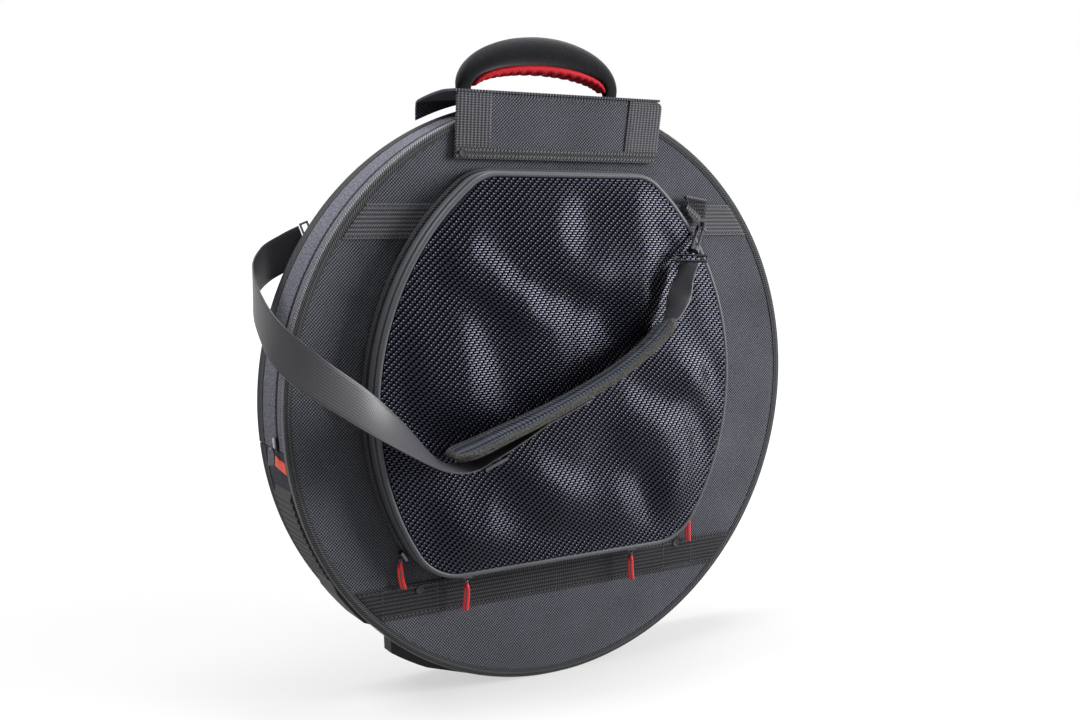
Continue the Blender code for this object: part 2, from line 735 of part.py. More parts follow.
def build_pocket():
    """Base tray on the front panel, a hinged middle with its divider, and the hinged front."""
    base_near = POCKET_BASE_Y - POCKET_BASE_DEPTH
    base = flat(
        "pocket_base",
        [pocket_outline(-POCKET_BASE_PROUD)],
        base_near,
        POCKET_BASE_Y,
        ROOT,
        "binding",
    )
    hollow = flat(
        "pocket_hollow",
        [pocket_outline(POCKET_BASE_LEDGE - POCKET_BASE_PROUD)],
        base_near - CUT_OVERRUN,
        POCKET_BASE_Y - POCKET_SHEET,
        ROOT,
        "binding",
    )
    combine(as_mesh(base), as_mesh(hollow), "DIFFERENCE")

    def loop(name, near, depth, inset, wall, body, material):
        outlines = [pocket_outline(inset), pocket_outline(inset + wall)]
        flat(name, outlines, near, near + depth, body, material)

    zip_near = POCKET_REAR_AXIS_Y - GAP - POCKET_ZIP_DEPTH
    band_near = POCKET_FRONT_AXIS_Y + GAP
    loop(
        "pocket_rear_zip",
        zip_near,
        POCKET_ZIP_DEPTH,
        POCKET_ZIP_INSET,
        POCKET_WALL,
        POCKET_REAR,
        "zip_tape",
    )
    band_depth = zip_near - GAP - band_near
    loop("pocket_band", band_near, band_depth, 0.0, POCKET_WALL, POCKET_REAR, "grey_vinyl")
    divider_near = band_near + POCKET_DIVIDER_RECESS
    flat(
        "pocket_divider",
        [pocket_outline(POCKET_WALL + GAP)],
        divider_near,
        divider_near + POCKET_SHEET,
        POCKET_REAR,
        "padding",
    )
    front_zip_near = POCKET_FRONT_AXIS_Y - GAP - POCKET_ZIP_DEPTH
    loop(
        "pocket_front_zip",
        front_zip_near,
        POCKET_ZIP_DEPTH,
        POCKET_ZIP_INSET,
        POCKET_WALL,
        POCKET_FRONT,
        "zip_tape",
    )
    path = [(x, PIPING_Y, z) for x, z in pocket_outline(PIPING_RADIUS + PIPING_SINK)]
    tube("pocket_piping", path, PIPING_RADIUS, POCKET_FRONT, "grey_vinyl", closed=True)
    flat(
        "pocket_front_panel",
        [pocket_outline(2.0 * PIPING_RADIUS + PIPING_SINK + GAP)],
        POCKET_FRONT_NEAR,
        POCKET_FRONT_NEAR + POCKET_FRONT_THICKNESS,
        POCKET_FRONT,
        "carbon_vinyl",
    )


def saddle_under(x, share):
    """Height of the saddle's underside; share runs from 0 at its front edge to 1 at its rear."""
    out = (x - SADDLE_MIDDLE_X) / SADDLE_HALF
    return SADDLE_UNDER_Z + SADDLE_RISE * min(1.0, 3.0 * share) - SADDLE_DROOP * (out * share) ** 2


def build_saddle():
    """Panel over the rim: a sheet that droops at its rear corners, with a lip down to the rim."""
    front = FLAP_TRIM_Y
    bm = bmesh.new()
    bmesh.ops.create_grid(bm, x_segments=SADDLE_COLUMNS, y_segments=SADDLE_ROWS, size=0.5)
    rows = {}
    for vert in bm.verts:
        x = SADDLE_MIDDLE_X + vert.co.x * 2.0 * SADDLE_HALF
        row = round((vert.co.y + 0.5) * SADDLE_ROWS)
        share = min(1.0, row / (SADDLE_ROWS - 1.0))
        y = front + (SADDLE_REAR_Y - front) * share
        z = saddle_under(x, share)
        if row == SADDLE_ROWS:
            rim = math.sqrt(RIM_RADIUS**2 - x**2) + SADDLE_LIP_CLEARANCE
            y += SADDLE_LIP_SETBACK
            z = min(z, rim)
        vert.co = (x, y, z)
        rows.setdefault(row, []).append(vert)
    mesh = mesh_from(bm, "saddle")
    saddle = add_part("saddle", mesh, ROOT, "nylon")
    thick = saddle.modifiers.new("sheet", "SOLIDIFY")
    thick.thickness = SADDLE_SHEET
    thick.offset = 1.0
    return saddle


FLAP = new_body("front_flap", (SADDLE_MIDDLE_X, FLAP_TRIM_Y - GAP, FLAP_TOP_Z), ROOT)


def build_flap():
    """Front flap of the saddle with an end strip of webbing on each side and a bottom binding."""
    lean_left = (FLAP_TOP_LEFT_X - FLAP_BOTTOM_LEFT_X) / (FLAP_TOP_Z - FLAP_BOTTOM_Z)
    lean_right = (FLAP_TOP_RIGHT_X - FLAP_BOTTOM_RIGHT_X) / (FLAP_TOP_Z - FLAP_BOTTOM_Z)

    def left(z):
        return FLAP_BOTTOM_LEFT_X + lean_left * (z - FLAP_BOTTOM_Z)

    def right(z):
        return FLAP_BOTTOM_RIGHT_X + lean_right * (z - FLAP_BOTTOM_Z)

    def panel(name, x_low, x_high, low, high, depth, material):
        """x_low and x_high give the two side edges at a height."""
        points = [(x_low(low), low), (x_high(low), low), (x_high(high), high), (x_low(high), high)]
        far = FLAP_BACK_Y if depth == FLAP_SHEET else FLAP_FRONT_Y - GAP
        flat(name, [points], far - depth, far, FLAP, material)

    seam = FLAP_BOTTOM_Z + FLAP_BINDING_HEIGHT
    panel("flap_panel", left, right, FLAP_BOTTOM_Z, FLAP_TOP_Z, FLAP_SHEET, "nylon")
    panel(
        "flap_strip_left",
        left,
        lambda z: left(z) + FLAP_STRIP_LEFT_WIDTH,
        seam + GAP,
        FLAP_TOP_Z,
        FLAP_STRIP_SHEET,
        "webbing",
    )
    panel(
        "flap_strip_right",
        lambda z: right(z) - FLAP_STRIP_RIGHT_WIDTH,
        right,
        seam + GAP,
        FLAP_TOP_Z,
        FLAP_STRIP_SHEET,
        "webbing",
    )
    panel("flap_binding", left, right, FLAP_BOTTOM_Z, seam, FLAP_BINDING_SHEET, "binding")


HANDLE_FRONT_SHARE = (HANDLE_Y - HANDLE_END_RADIUS - FLAP_TRIM_Y) / (SADDLE_REAR_Y - FLAP_TRIM_Y)
HANDLE_INNER_SPAN = HANDLE_HALF_SPAN - HANDLE_END_WIDTH
HANDLE_SEAT_Z = SADDLE_SHEET + saddle_under(HANDLE_X + HANDLE_INNER_SPAN, HANDLE_FRONT_SHARE)
HANDLE_AXIS_Z = HANDLE_SEAT_Z + GAP + HANDLE_END_RADIUS
HANDLE = new_body("handle", (HANDLE_X, HANDLE_Y, HANDLE_AXIS_Z), ROOT)


def handle_section(outer, inner, half):
    """Rounded section between an outer and an inner (x, z) point, this wide to each side in Y."""
    shares = [(0.0, 0.80), (0.35, 1.0), (0.75, 0.85), (1.0, 0.40)]
    ring_points = []
    for side, order in ((-1.0, shares), (1.0, list(reversed(shares)))):
        for out, wide in order:
            x = inner[0] + (outer[0] - inner[0]) * out
            z = inner[1] + (outer[1] - inner[1]) * out
            ring_points.append((x, HANDLE_Y + side * wide * half, z))
    return ring_points


def build_handle():
    """Crescent between two ellipses with rounded ends, and a lining under its arch."""
    outer_rise = HANDLE_TOP_Z - HANDLE_AXIS_Z
    inner_span = HANDLE_INNER_SPAN
    inner_rise = outer_rise - HANDLE_CROWN

    def ellipse(span, rise, degrees):
        angle = math.radians(degrees)
        return (HANDLE_X + span * math.cos(angle), HANDLE_AXIS_Z + rise * math.sin(angle))

    def rounded_end(side):
        """Slices below the axis, narrowing as a circle about it, lowest first."""
        slices = []
        for degrees in (75.0, 50.0, 25.0):
            drop = HANDLE_END_RADIUS * math.sin(math.radians(degrees))
            half = HANDLE_END_RADIUS * math.cos(math.radians(degrees))
            x_out = HANDLE_X + side * HANDLE_HALF_SPAN
            x_in = HANDLE_X + side * inner_span
            z = HANDLE_AXIS_Z - drop
            slices.append(handle_section((x_out, z), (x_in, z), half))
        return slices

    sections = rounded_end(-1.0)
    for i in range(HANDLE_STEPS + 1):
        degrees = 180.0 - 180.0 * i / HANDLE_STEPS
        swell = math.sin(math.radians(degrees)) ** 0.8
        half = HANDLE_END_RADIUS + (HANDLE_HALF_GRIP - HANDLE_END_RADIUS) * swell
        outer = ellipse(HANDLE_HALF_SPAN, outer_rise, degrees)
        inner = ellipse(inner_span, inner_rise, degrees)
        sections.append(handle_section(outer, inner, half))
    sections += reversed(rounded_end(1.0))
    loft("handle_cover", sections, HANDLE, "velour")

    lining = []
    for i in range(HANDLE_STEPS + 1):
        degrees = 180.0 - LINING_START_DEG - (180.0 - 2.0 * LINING_START_DEG) * i / HANDLE_STEPS
        swell = math.sin(math.radians(degrees))
        half = HANDLE_END_RADIUS + (LINING_HALF_GRIP - HANDLE_END_RADIUS) * swell
        top = ellipse(inner_span - 2.0 * GAP, inner_rise - 2.0 * GAP, degrees)
        low = ellipse(inner_span - 2.0 * GAP - LINING_CROWN, inner_rise - LINING_CROWN, degrees)
        lining.append(handle_section(top, low, half))
    loft("handle_lining", lining, HANDLE, "red_cloth")


# Strap rings and hooks: where each bar lies and along what, which way the ring stands and the hook hangs
FRONT_TAB_Y = -BAND_THICKNESS - 2.0 * GAP
FRONT_BAR_Y = FRONT_TAB_Y - FRONT_BAR_STANDOFF
FRONT_BAR_Z = UPPER_BAND_Z + FRONT_BAR_RISE
FRONT_BAR_X = pocket_edge(FRONT_BAR_Z) + FRONT_BAR_CLEARANCE
FRONT_BAR = Vector((FRONT_BAR_X, FRONT_BAR_Y, FRONT_BAR_Z))
FRONT_BAR_ALONG = Vector((0.8107, 0.0, -0.5855)).normalized()
FRONT_RING_WAY = Vector((-0.2700, -0.8880, -0.3740))
FRONT_HOOK_WAY = Vector((-0.5575, -0.3450, -0.7714))
REAR_BAR_SHARES = (-0.566154, 0.618462)
REAR_TAB_Y = CASE_DEPTH + GAP
REAR_BAR_Y = REAR_TAB_Y + REAR_BAR_STANDOFF
REAR_BAR = Vector((RIM_RADIUS * REAR_BAR_SHARES[0], REAR_BAR_Y, RIM_RADIUS * REAR_BAR_SHARES[1]))
REAR_BAR_ALONG = Vector((0.3697, 0.0, -0.9291)).normalized()
REAR_RING_WAY = Vector((-0.9000, 0.2500, -0.3580))
REAR_HOOK_WAY = Vector((-0.9290, 0.0200, -0.3700))
HOOK_SEAT = HOOK_BEND - HOOK_WIRE - RING_WIRE - GAP
EYE_REACH = HOOK_SEAT + HOOK_LEG + COLLAR_LENGTH + GAP + SWIVEL_LENGTH + EYE_HEIGHT


def square_to(direction, along):
    """Direction made square to another, with length one."""
    return (direction - along * direction.dot(along)).normalized()


def ring_catch(bar, along, ring_way):
    """Centre of the ring's wire where the hook hangs."""
    return bar + square_to(ring_way, along) * RING_DEPTH


def strap_end(bar, along, ring_way, hook_way):
    """Place on the hook's axis where the strap meets the eye."""
    axis = square_to(hook_way, along)
    return ring_catch(bar, along, ring_way) + axis * (EYE_REACH + EYE_WIRE + 2.0 * GAP)


def build_ring_and_hook(word, bar, along, ring_way, hook_way, across, outward, face_y, base):
    """Webbing tab, D-ring, and snap hook with its gate and swivel eye, at one strap end.

    across is the way the eye's long side faces, and the hook's own axis is made square to the bar.
    """
    stand = square_to(ring_way, along)
    catch = ring_catch(bar, along, ring_way)
    ring_frame = axes_frame(bar, along, along.cross(stand))
    ring_body = new_body("ring_" + word, bar, base)
    half = RING_HALF_WIDTH
    bend = [polar(half, d, (0.0, RING_DEPTH - half)) for d in range(0, 181, 15)]
    loop = [(half, 0.0, 0.0)] + [(x, y, 0.0) for x, y in bend] + [(-half, 0.0, 0.0)]
    tube("ring_" + word + "_wire", loop, RING_WIRE, ring_body, "black_chrome", True, ring_frame)

    hole = RING_WIRE + TAB_LOOP_CLEARANCE
    shell = hole + TAB_LOOP_WALL
    up = along.cross(outward).normalized()
    if up.z < 0.0:
        up = -up
    section = Matrix((outward, up, along)).transposed().to_4x4()
    section = Matrix.Translation(bar) @ section
    back = (face_y - bar.y) * (-1.0 if outward.y < 0.0 else 1.0)
    eye_points = [polar(shell, d) for d in range(-90, 91, 30)]
    outline = eye_points + [(-shell + TAB_SHEET, shell), (back + TAB_SHEET, TAB_REACH)]
    outline += [(back, TAB_REACH), (back, -shell)]
    hollow = [polar(hole, d) for d in range(0, 360, 30)]
    tab_name = "strap_tab_" + word
    flat(tab_name, [outline, hollow], -TAB_HALF_WIDTH, TAB_HALF_WIDTH, base, "webbing", section)

    axis = square_to(hook_way, along)
    hook_frame = axes_frame(catch + axis * HOOK_SEAT, along.cross(axis), -axis)
    hook_body = new_body("hook_" + word, catch, ring_body)
    bend = [polar(HOOK_BEND, d) for d in range(0, 181, 20)]
    wire = [(HOOK_BEND, 0.0, -HOOK_LEG - COLLAR_LENGTH / 2.0)]
    wire += [(x, 0.0, z) for x, z in bend] + [(-HOOK_BEND, 0.0, -HOOK_NOSE)]
    name = "hook_" + word + "_body"
    jaw = as_mesh(tube(name, wire, HOOK_WIRE, hook_body, "black_chrome", frame=hook_frame))
    collar_middle = Matrix.Translation((0.0, 0.0, -HOOK_LEG - COLLAR_LENGTH / 2.0))
    collar = cylinder(
        name + "_collar",
        COLLAR_RADIUS,
        COLLAR_LENGTH,
        hook_body,
        "black_chrome",
        hook_frame @ collar_middle,
    )
    combine(jaw, collar, "UNION")

    foot = -HOOK_LEG + GATE_GAP
    tip = -HOOK_NOSE - GATE_GAP
    gate_pivot = hook_frame @ Vector((-HOOK_BEND, 0.0, foot + GATE_WIRE))
    gate_body = new_body("gate_" + word, gate_pivot, hook_body)
    bar_points = [(-HOOK_BEND, 0.0, foot), (-HOOK_BEND, 0.0, tip)]
    tube("gate_" + word + "_bar", bar_points, GATE_WIRE, gate_body, "black_chrome", frame=hook_frame)

    swivel_top = -HOOK_LEG - COLLAR_LENGTH - GAP
    swivel_body = new_body("swivel_" + word, hook_frame @ Vector((0.0, 0.0, swivel_top)), hook_body)
    tie_place = hook_frame @ Vector((0.0, 0.0, swivel_top - SWIVEL_LENGTH))
    tie = axes_frame(tie_place, across, -axis)
    eye_loop = [(-EYE_HALF_WIDTH, 0.0, 0.0), (EYE_HALF_WIDTH, 0.0, 0.0)]
    eye_loop += [(EYE_HALF_WIDTH, 0.0, -EYE_HEIGHT), (-EYE_HALF_WIDTH, 0.0, -EYE_HEIGHT)]
    name = "swivel_" + word + "_eye"
    frame = as_mesh(tube(name, eye_loop, EYE_WIRE, swivel_body, "black_chrome", True, tie))
    stem_middle = Matrix.Translation((0.0, 0.0, SWIVEL_LENGTH / 2.0))
    stem = cylinder(
        name + "_stem", SWIVEL_RADIUS, SWIVEL_LENGTH, swivel_body, "black_chrome", tie @ stem_middle
    )
    combine(frame, stem, "UNION")


# Strap route: stations of its middle line, with the tilt of its width in degrees. X and Z are shares of
# the rim's radius, and Y runs from 0 at the pad's depth to 1 at the back of the case. The neck's rows
# are shares of the way from the pad's end to the front hook.
REAR_END = strap_end(REAR_BAR, REAR_BAR_ALONG, REAR_RING_WAY, REAR_HOOK_WAY)
FRONT_END = strap_end(FRONT_BAR, FRONT_BAR_ALONG, FRONT_RING_WAY, FRONT_HOOK_WAY)
STRAP_ROUTE_SHARES = [
    ((-0.876923, 1.094896, 0.492308), 90.0),
    ((-0.960000, 1.024443, 0.452308), 90.0),
    ((-1.024615, 0.837527, 0.403077), 90.0),
    ((-1.052308, 0.578720, 0.332308), 90.0),
    ((-1.036923, 0.305536, 0.240000), 88.0),
    ((-0.960000, 0.132998, 0.150769), 84.0),
    ((-0.830769, 0.061107, 0.055385), 70.0),
    ((-0.692308, 0.010784, -0.052308), 42.0),
    ((-0.569231, -0.010784, -0.147692), 14.0),
    ((-0.480000, -0.010784, -0.172923), 1.0),
]
PAD_ROUTE_SHARES = [
    ((-0.510769, 0.000000, -0.132308), 0.0),
    ((-0.443077, 0.000000, -0.114462), -1.5),
    ((-0.366154, 0.000000, -0.089231), -3.0),
    ((-0.200000, 0.000000, -0.033846), -6.0),
    ((-0.043077, 0.000000, 0.026154), -9.0),
    ((0.113846, 0.000000, 0.098462), -12.0),
    ((0.243077, 0.003595, 0.179385), -15.0),
    ((0.320000, 0.010784, 0.249231), -17.0),
]
NECK_ROUTE_SHARES = [
    ((0.3942, 0.4063, 0.2710), -11.0),
    ((0.6780, 1.0158, 0.6172), -4.0),
]
RISE_SHARES = ((-0.303077, 0.0, -0.106154), -2.0)
ADJUSTER_SHARES = ((-0.396923, 0.0, -0.156923), 0.0)
NECK_LEAD = 0.0050
ROUTE_STEPS = 4
UNDER_PAD_STATIONS = (12, 17)


def station(row):
    """Point and tilt of one row of shares."""
    (x, y, z), tilt = row
    return ((RIM_RADIUS * x, PAD_Y + (CASE_DEPTH - PAD_Y) * y, RIM_RADIUS * z), tilt)


def neck_station(row):
    """Point and tilt of one row of shares of the way from the pad's end to the front hook."""
    shares, tilt = row
    start = PAD_ROUTE[-1][0]
    return (tuple(a + (b - a) * share for a, b, share in zip(start, FRONT_END, shares)), tilt)


STRAP_ROUTE = [station(row) for row in STRAP_ROUTE_SHARES]
PAD_ROUTE = [station(row) for row in PAD_ROUTE_SHARES]
NECK_ROUTE = [neck_station(row) for row in NECK_ROUTE_SHARES]
STRAP_RISE = station(RISE_SHARES)
ADJUSTER_CENTRE = Vector(station(ADJUSTER_SHARES)[0])


def below(route, index):
    """Strap station that lies against the pad's lower face below one station of its route."""
    place, tilt = route[index]
    along = (Vector(route[index + 1][0]) - Vector(route[index - 1][0])).normalized()
    level = Vector((0.0, 0.0, 1.0)).cross(along).normalized()
    down = Matrix.Rotation(math.radians(tilt), 4, along) @ level.cross(along)
    seat = PAD_THICKNESS / 2.0 + STRAP_SHEET / 2.0 + 2.0 * GAP
    return (tuple(Vector(place) + down * seat), tilt)


def build_strap():
    """Webbing from the rear hook round the left rim, the pad with its adjuster, and the neck."""
    edge = STRAP_SHEET / 4.0
    lift = Vector((0.0, 0.0, ADJUSTER_WIRE / 2.0 + STRAP_SHEET / 2.0 + 4.0 * GAP))
    pad_route = smooth_stations(PAD_ROUTE, ROUTE_STEPS)
    under_pad = [below(pad_route, i) for i in range(*UNDER_PAD_STATIONS)]
    stations = [(tuple(REAR_END), 90.0)] + STRAP_ROUTE + [(tuple(ADJUSTER_CENTRE + lift), 0.0)]
    stations += [STRAP_RISE, under_pad[0]]
    route = smooth_stations(stations, ROUTE_STEPS) + under_pad[1:]
    ribbon("strap_webbing", route, STRAP_WIDTH, STRAP_SHEET, edge, ROOT, "strap_webbing")
    ribbon("strap_pad", pad_route, PAD_WIDTH, PAD_THICKNESS, PAD_EDGE, ROOT, "mesh_pad")
    end, tilt = PAD_ROUTE[-1]
    along = (Vector(end) - Vector(pad_route[-2][0])).normalized()
    lead = [(tuple(Vector(end) + along * reach), tilt) for reach in (2.0 * GAP, NECK_LEAD)]
    route = smooth_stations(lead + NECK_ROUTE + [(tuple(FRONT_END), 0.0)], ROUTE_STEPS)
    ribbon("strap_neck", route, NECK_WIDTH, STRAP_SHEET, edge, ROOT, "strap_webbing")

    long, wide, wire = ADJUSTER_LENGTH / 2.0, ADJUSTER_WIDTH / 2.0, ADJUSTER_WIRE
    frame = Matrix.Translation(ADJUSTER_CENTRE)
    frame @= Matrix.Rotation(math.radians(-ADJUSTER_SLOPE_DEG), 4, "Y")
    outlines = [[(-long, -wide), (long, -wide), (long, wide), (-long, wide)]]
    for low, high in ((-long + wire, -wire / 2.0), (wire / 2.0, long - wire)):
        slot = wide - wire
        outlines.append([(low, -slot), (high, -slot), (high, slot), (low, slot)])
    half = ADJUSTER_WIRE / 2.0
    flat("strap_adjuster", outlines, -half, half, ROOT, "black_chrome", frame)


def slider_and_pull(name, place, outward, travel, body_pivot, base, pull_material, pull_length):
    """Zip slider on a wall, and the pull that swings below it about the depth axis."""
    slider_body = new_body(name + "_slider", body_pivot, base)
    frame = axes_frame(place + outward * SLIDER_HEIGHT / 2.0, travel, outward)
    size = (SLIDER_LENGTH, SLIDER_WIDTH, SLIDER_HEIGHT)
    slider = box(name + "_slider_body", size, slider_body, "black_chrome", frame)
    bevel(slider, SLIDER_EDGE)
    pivot = place + outward * (SLIDER_HEIGHT + PULL_EYE_DROP)
    pull_body = new_body(name + "_pull", pivot, slider_body)
    down = Vector((0.0, 0.0, -1.0))
    middle = pivot + down * (pull_length - PULL_THICKNESS) / 2.0
    size = (PULL_THICKNESS, PULL_WIDTH, pull_length)
    frame = axes_frame(middle, down.cross(Vector((0.0, 1.0, 0.0))), down)
    pull = box(name + "_pull_tab", size, pull_body, pull_material, frame)
    bevel(pull, PULL_EDGE)


def build_sliders():
    """Two sliders on the main zip and two on each pocket zip, each with its pull."""
    centre = Vector((0.0, ZIP_LINE_Y, 0.0))
    for side, word in ((-1.0, "left"), (1.0, "right")):
        x, z = polar(1.0, chord_degrees(GUSSET_OUTER, MAIN_SLIDER_Z))
        outward = Vector((side * x, 0.0, z))
        place = centre + outward * (GUSSET_OUTER + SLIDER_GAP)
        slider_and_pull(
            "main_" + word,
            place,
            outward,
            outward.cross(Vector((0.0, 1.0, 0.0))),
            centre,
            ROOT,
            "black_chrome",
            MAIN_PULL_LENGTH,
        )
        arc_centre = Vector((POCKET_X - side * POCKET_ARC_OFFSET, POCKET_REAR_AXIS_Y, POCKET_ARC_Z))
        lean = pocket_corner(POCKET_BOTTOM_FILLET, POCKET_BOTTOM_Z)[1]
        x, z = polar(1.0, lean)
        outward = Vector((side * x, 0.0, z))
        reach = POCKET_ARC_RADIUS + POCKET_BASE_PROUD + SLIDER_GAP
        slider_and_pull(
            "outer_" + word,
            arc_centre + outward * reach,
            outward,
            outward.cross(Vector((0.0, 1.0, 0.0))),
            arc_centre,
            ROOT,
            "red_pull",
            PULL_LENGTH,
        )
    fillet_x, fillet_z = pocket_corner(POCKET_BOTTOM_FILLET, POCKET_BOTTOM_Z)[0]
    left_x = POCKET_X - fillet_x + FRONT_SLIDER_LEFT_SET
    right_x = POCKET_X + fillet_x - FRONT_SLIDER_RIGHT_SET
    for word, x in (("left", left_x), ("right", right_x)):
        y = POCKET_FRONT_AXIS_Y + GAP + SLIDER_WIDTH / 2.0
        place = Vector((x, y, POCKET_BOTTOM_Z - SLIDER_GAP))
        pivot = Vector((POCKET_X - fillet_x, y, fillet_z)) if word == "left" else place
        slider_and_pull(
            "front_" + word,
            place,
            Vector((0.0, 0.0, -1.0)),
            Vector((1.0, 0.0, 0.0)),
            pivot,
            POCKET_REAR,
            "red_pull",
            PULL_LENGTH,
        )


build_case()
build_divider()
build_bands()
build_gusset_trim()
build_pocket()
build_saddle()
build_flap()
build_handle()
build_ring_and_hook(
    "front",
    FRONT_BAR,
    FRONT_BAR_ALONG,
    FRONT_RING_WAY,
    FRONT_HOOK_WAY,
    square_to(FRONT_HOOK_WAY, FRONT_BAR_ALONG).cross(Vector((0.0, 0.0, 1.0))),
    Vector((0.0, -1.0, 0.0)),
    FRONT_TAB_Y,
    ROOT,
)
build_ring_and_hook(
    "rear",
    REAR_BAR,
    REAR_BAR_ALONG,
    REAR_RING_WAY,
    REAR_HOOK_WAY,
    Vector((0.0, 0.0, 1.0)),
    Vector((0.0, 1.0, 0.0)),
    REAR_TAB_Y,
    LID,
)
build_strap()
build_sliders()
ROOT.location = (-MIDDLE_X, -MIDDLE_Y, -FLOOR_Z)
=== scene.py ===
"""Dressed model of the cymbal bag: cloth, webbing, vinyl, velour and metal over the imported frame.

Metres, +Z up. Pieces are drawn in the bag's own frame, whose origin is the centre of the front face with
X to the right, Y into the depth and Z up, and are then moved onto the frame in one step.
"""

import logging
import math
from collections.abc import Callable, Iterator, Sequence
from contextlib import contextmanager
from dataclasses import dataclass
from enum import Enum

import bpy
from mathutils import Matrix, Vector, noise


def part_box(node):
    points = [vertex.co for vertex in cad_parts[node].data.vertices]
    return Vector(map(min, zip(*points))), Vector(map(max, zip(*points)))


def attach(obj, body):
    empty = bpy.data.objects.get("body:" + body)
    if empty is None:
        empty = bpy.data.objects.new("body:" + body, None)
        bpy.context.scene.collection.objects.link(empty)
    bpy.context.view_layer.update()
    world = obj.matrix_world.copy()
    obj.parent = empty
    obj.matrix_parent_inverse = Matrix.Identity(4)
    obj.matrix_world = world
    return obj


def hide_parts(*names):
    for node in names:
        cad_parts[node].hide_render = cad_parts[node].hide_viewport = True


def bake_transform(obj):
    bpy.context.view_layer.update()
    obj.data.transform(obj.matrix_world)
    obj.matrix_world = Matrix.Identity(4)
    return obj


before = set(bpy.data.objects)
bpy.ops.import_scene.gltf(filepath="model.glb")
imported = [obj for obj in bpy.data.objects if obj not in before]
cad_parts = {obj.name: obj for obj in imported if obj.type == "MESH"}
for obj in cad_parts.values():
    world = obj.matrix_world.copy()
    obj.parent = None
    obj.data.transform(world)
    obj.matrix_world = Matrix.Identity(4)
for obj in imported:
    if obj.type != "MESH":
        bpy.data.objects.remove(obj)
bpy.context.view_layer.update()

LOG = logging.getLogger("cymbal_bag")
Socket = bpy.types.NodeSocket
Thing = bpy.types.Object
Tree = bpy.types.NodeTree
Place = Callable[[float, float], Vector]
Pair = tuple[float, float]
Point = tuple[float, float, float]
Section = Sequence[Pair]
Station = tuple[Point, float]

UP = Vector((0.0, 0.0, 1.0))
FORWARD = Vector((0.0, -1.0, 0.0))
QUARTER = math.pi / 2.0
WHITE = (1.0, 1.0, 1.0, 1.0)


def face_centre() -> Vector:
    """Find the bag's own origin in the frame.

    Returns:
        The centre of the front face, from the front panel's solid.
    """
    low, high = (Vector(corner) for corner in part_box("front_panel"))
    return Vector(((low.x + high.x) / 2.0, low.y, (low.z + high.z) / 2.0))


ORIGIN = face_centre()


def own_box(node: str) -> tuple[Vector, Vector]:
    """Return the lowest and highest corner of a CAD node in the bag's own frame."""
    low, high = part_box(node)
    return Vector(low) - ORIGIN, Vector(high) - ORIGIN


class Body(Enum):
    """Body of the frame that a piece rides on."""

    FRONT = "case_front"
    BACK = "case_back"
    FLAP = "front_flap"
    HANDLE = "handle"
    POCKET_MIDDLE = "pocket_rear"
    POCKET_FRONT = "pocket_front"


class Weave(Enum):
    """How the threads of a cloth cross: two waves, each as the share of the length along the cloth, the share
    of the length across it and the pitch in threads, and then how much each wave counts.
    """

    PLAIN = ((1.0, -1.0, 1.41), (1.0, 1.0, 1.25), (0.30, 0.20))
    RIBBED = ((0.0, 1.0, 1.0), (1.0, 0.0, 0.6), (0.26, 0.24))
    TWILL = ((1.0, 1.0, 1.4), (0.0, 1.0, 1.0), (0.35, 0.15))
    CORDED = ((1.0, 0.8, 1.0), (0.0, 1.0, 1.3), (0.34, 0.16))
    SPECKLED = (None, (0.0, 1.0, 1.0), (0.38, 0.12))
    MESH = ((1.0, 0.0, 1.0), (0.5, 1.0, 1.0), (0.25, 0.25))


# ---------------------------------------------------------------- finishes

FUZZ_PER_METRE = 600.0
SPECKS_PER_METRE = 420.0


def linear(colour: str) -> tuple[float, float, float, float]:
    """Turn six hex digits of sRGB into linear RGBA with alpha 1."""
    parts = [int(colour[i : i + 2], 16) / 255.0 for i in (0, 2, 4)]
    made = [c / 12.92 if c <= 0.04045 else ((c + 0.055) / 1.055) ** 2.4 for c in parts]
    return (made[0], made[1], made[2], 1.0)


def add_node(tree: Tree, kind: str, feeds: dict | None = None, **settings) -> bpy.types.Node:
    """Add a shader node with its settings and links.

    Args:
        tree: node tree of the material.
        kind: node type without its ShaderNode prefix.
        feeds: socket name or index to a value or to the output that feeds it.
        settings: attributes of the node.

    Returns:
        The new node.
    """
    node = tree.nodes.new("ShaderNode" + kind)
    for name, value in settings.items():
        setattr(node, name, value)
    for key, value in (feeds or {}).items():
        if isinstance(value, Socket):
            tree.links.new(value, node.inputs[key])
        else:
            node.inputs[key].default_value = value
    return node


def calc(tree: Tree, operation: str, *values: Socket | float, **settings) -> Socket:
    """Return the output of a maths node that works on these values, in their order."""
    return add_node(tree, "Math", dict(enumerate(values)), operation=operation, **settings).outputs[0]


def lumps(tree: Tree, per_metre: float, detail: float) -> Socket:
    """Return noise over the piece with this many lumps to a metre."""
    spot = add_node(tree, "TexCoord").outputs["Object"]
    return add_node(tree, "TexNoise", {"Vector": spot, "Scale": per_metre, "Detail": detail}).outputs[0]


def mixed(tree: Tree, share: Socket, low: Socket | str, high: Socket | str) -> Socket:
    """Return the mix of two colours, each a hex colour or an output."""
    ends = [linear(colour) if isinstance(colour, str) else colour for colour in (low, high)]
    return add_node(tree, "Mix", {0: share, 6: ends[0], 7: ends[1]}, data_type="RGBA").outputs[2]


def piece_uv(tree: Tree) -> tuple[Socket, Socket]:
    """Return the lengths along and across the piece, in metres, from its UV map."""
    split = add_node(tree, "SeparateXYZ", {0: add_node(tree, "UVMap").outputs[0]})
    return split.outputs[0], split.outputs[1]


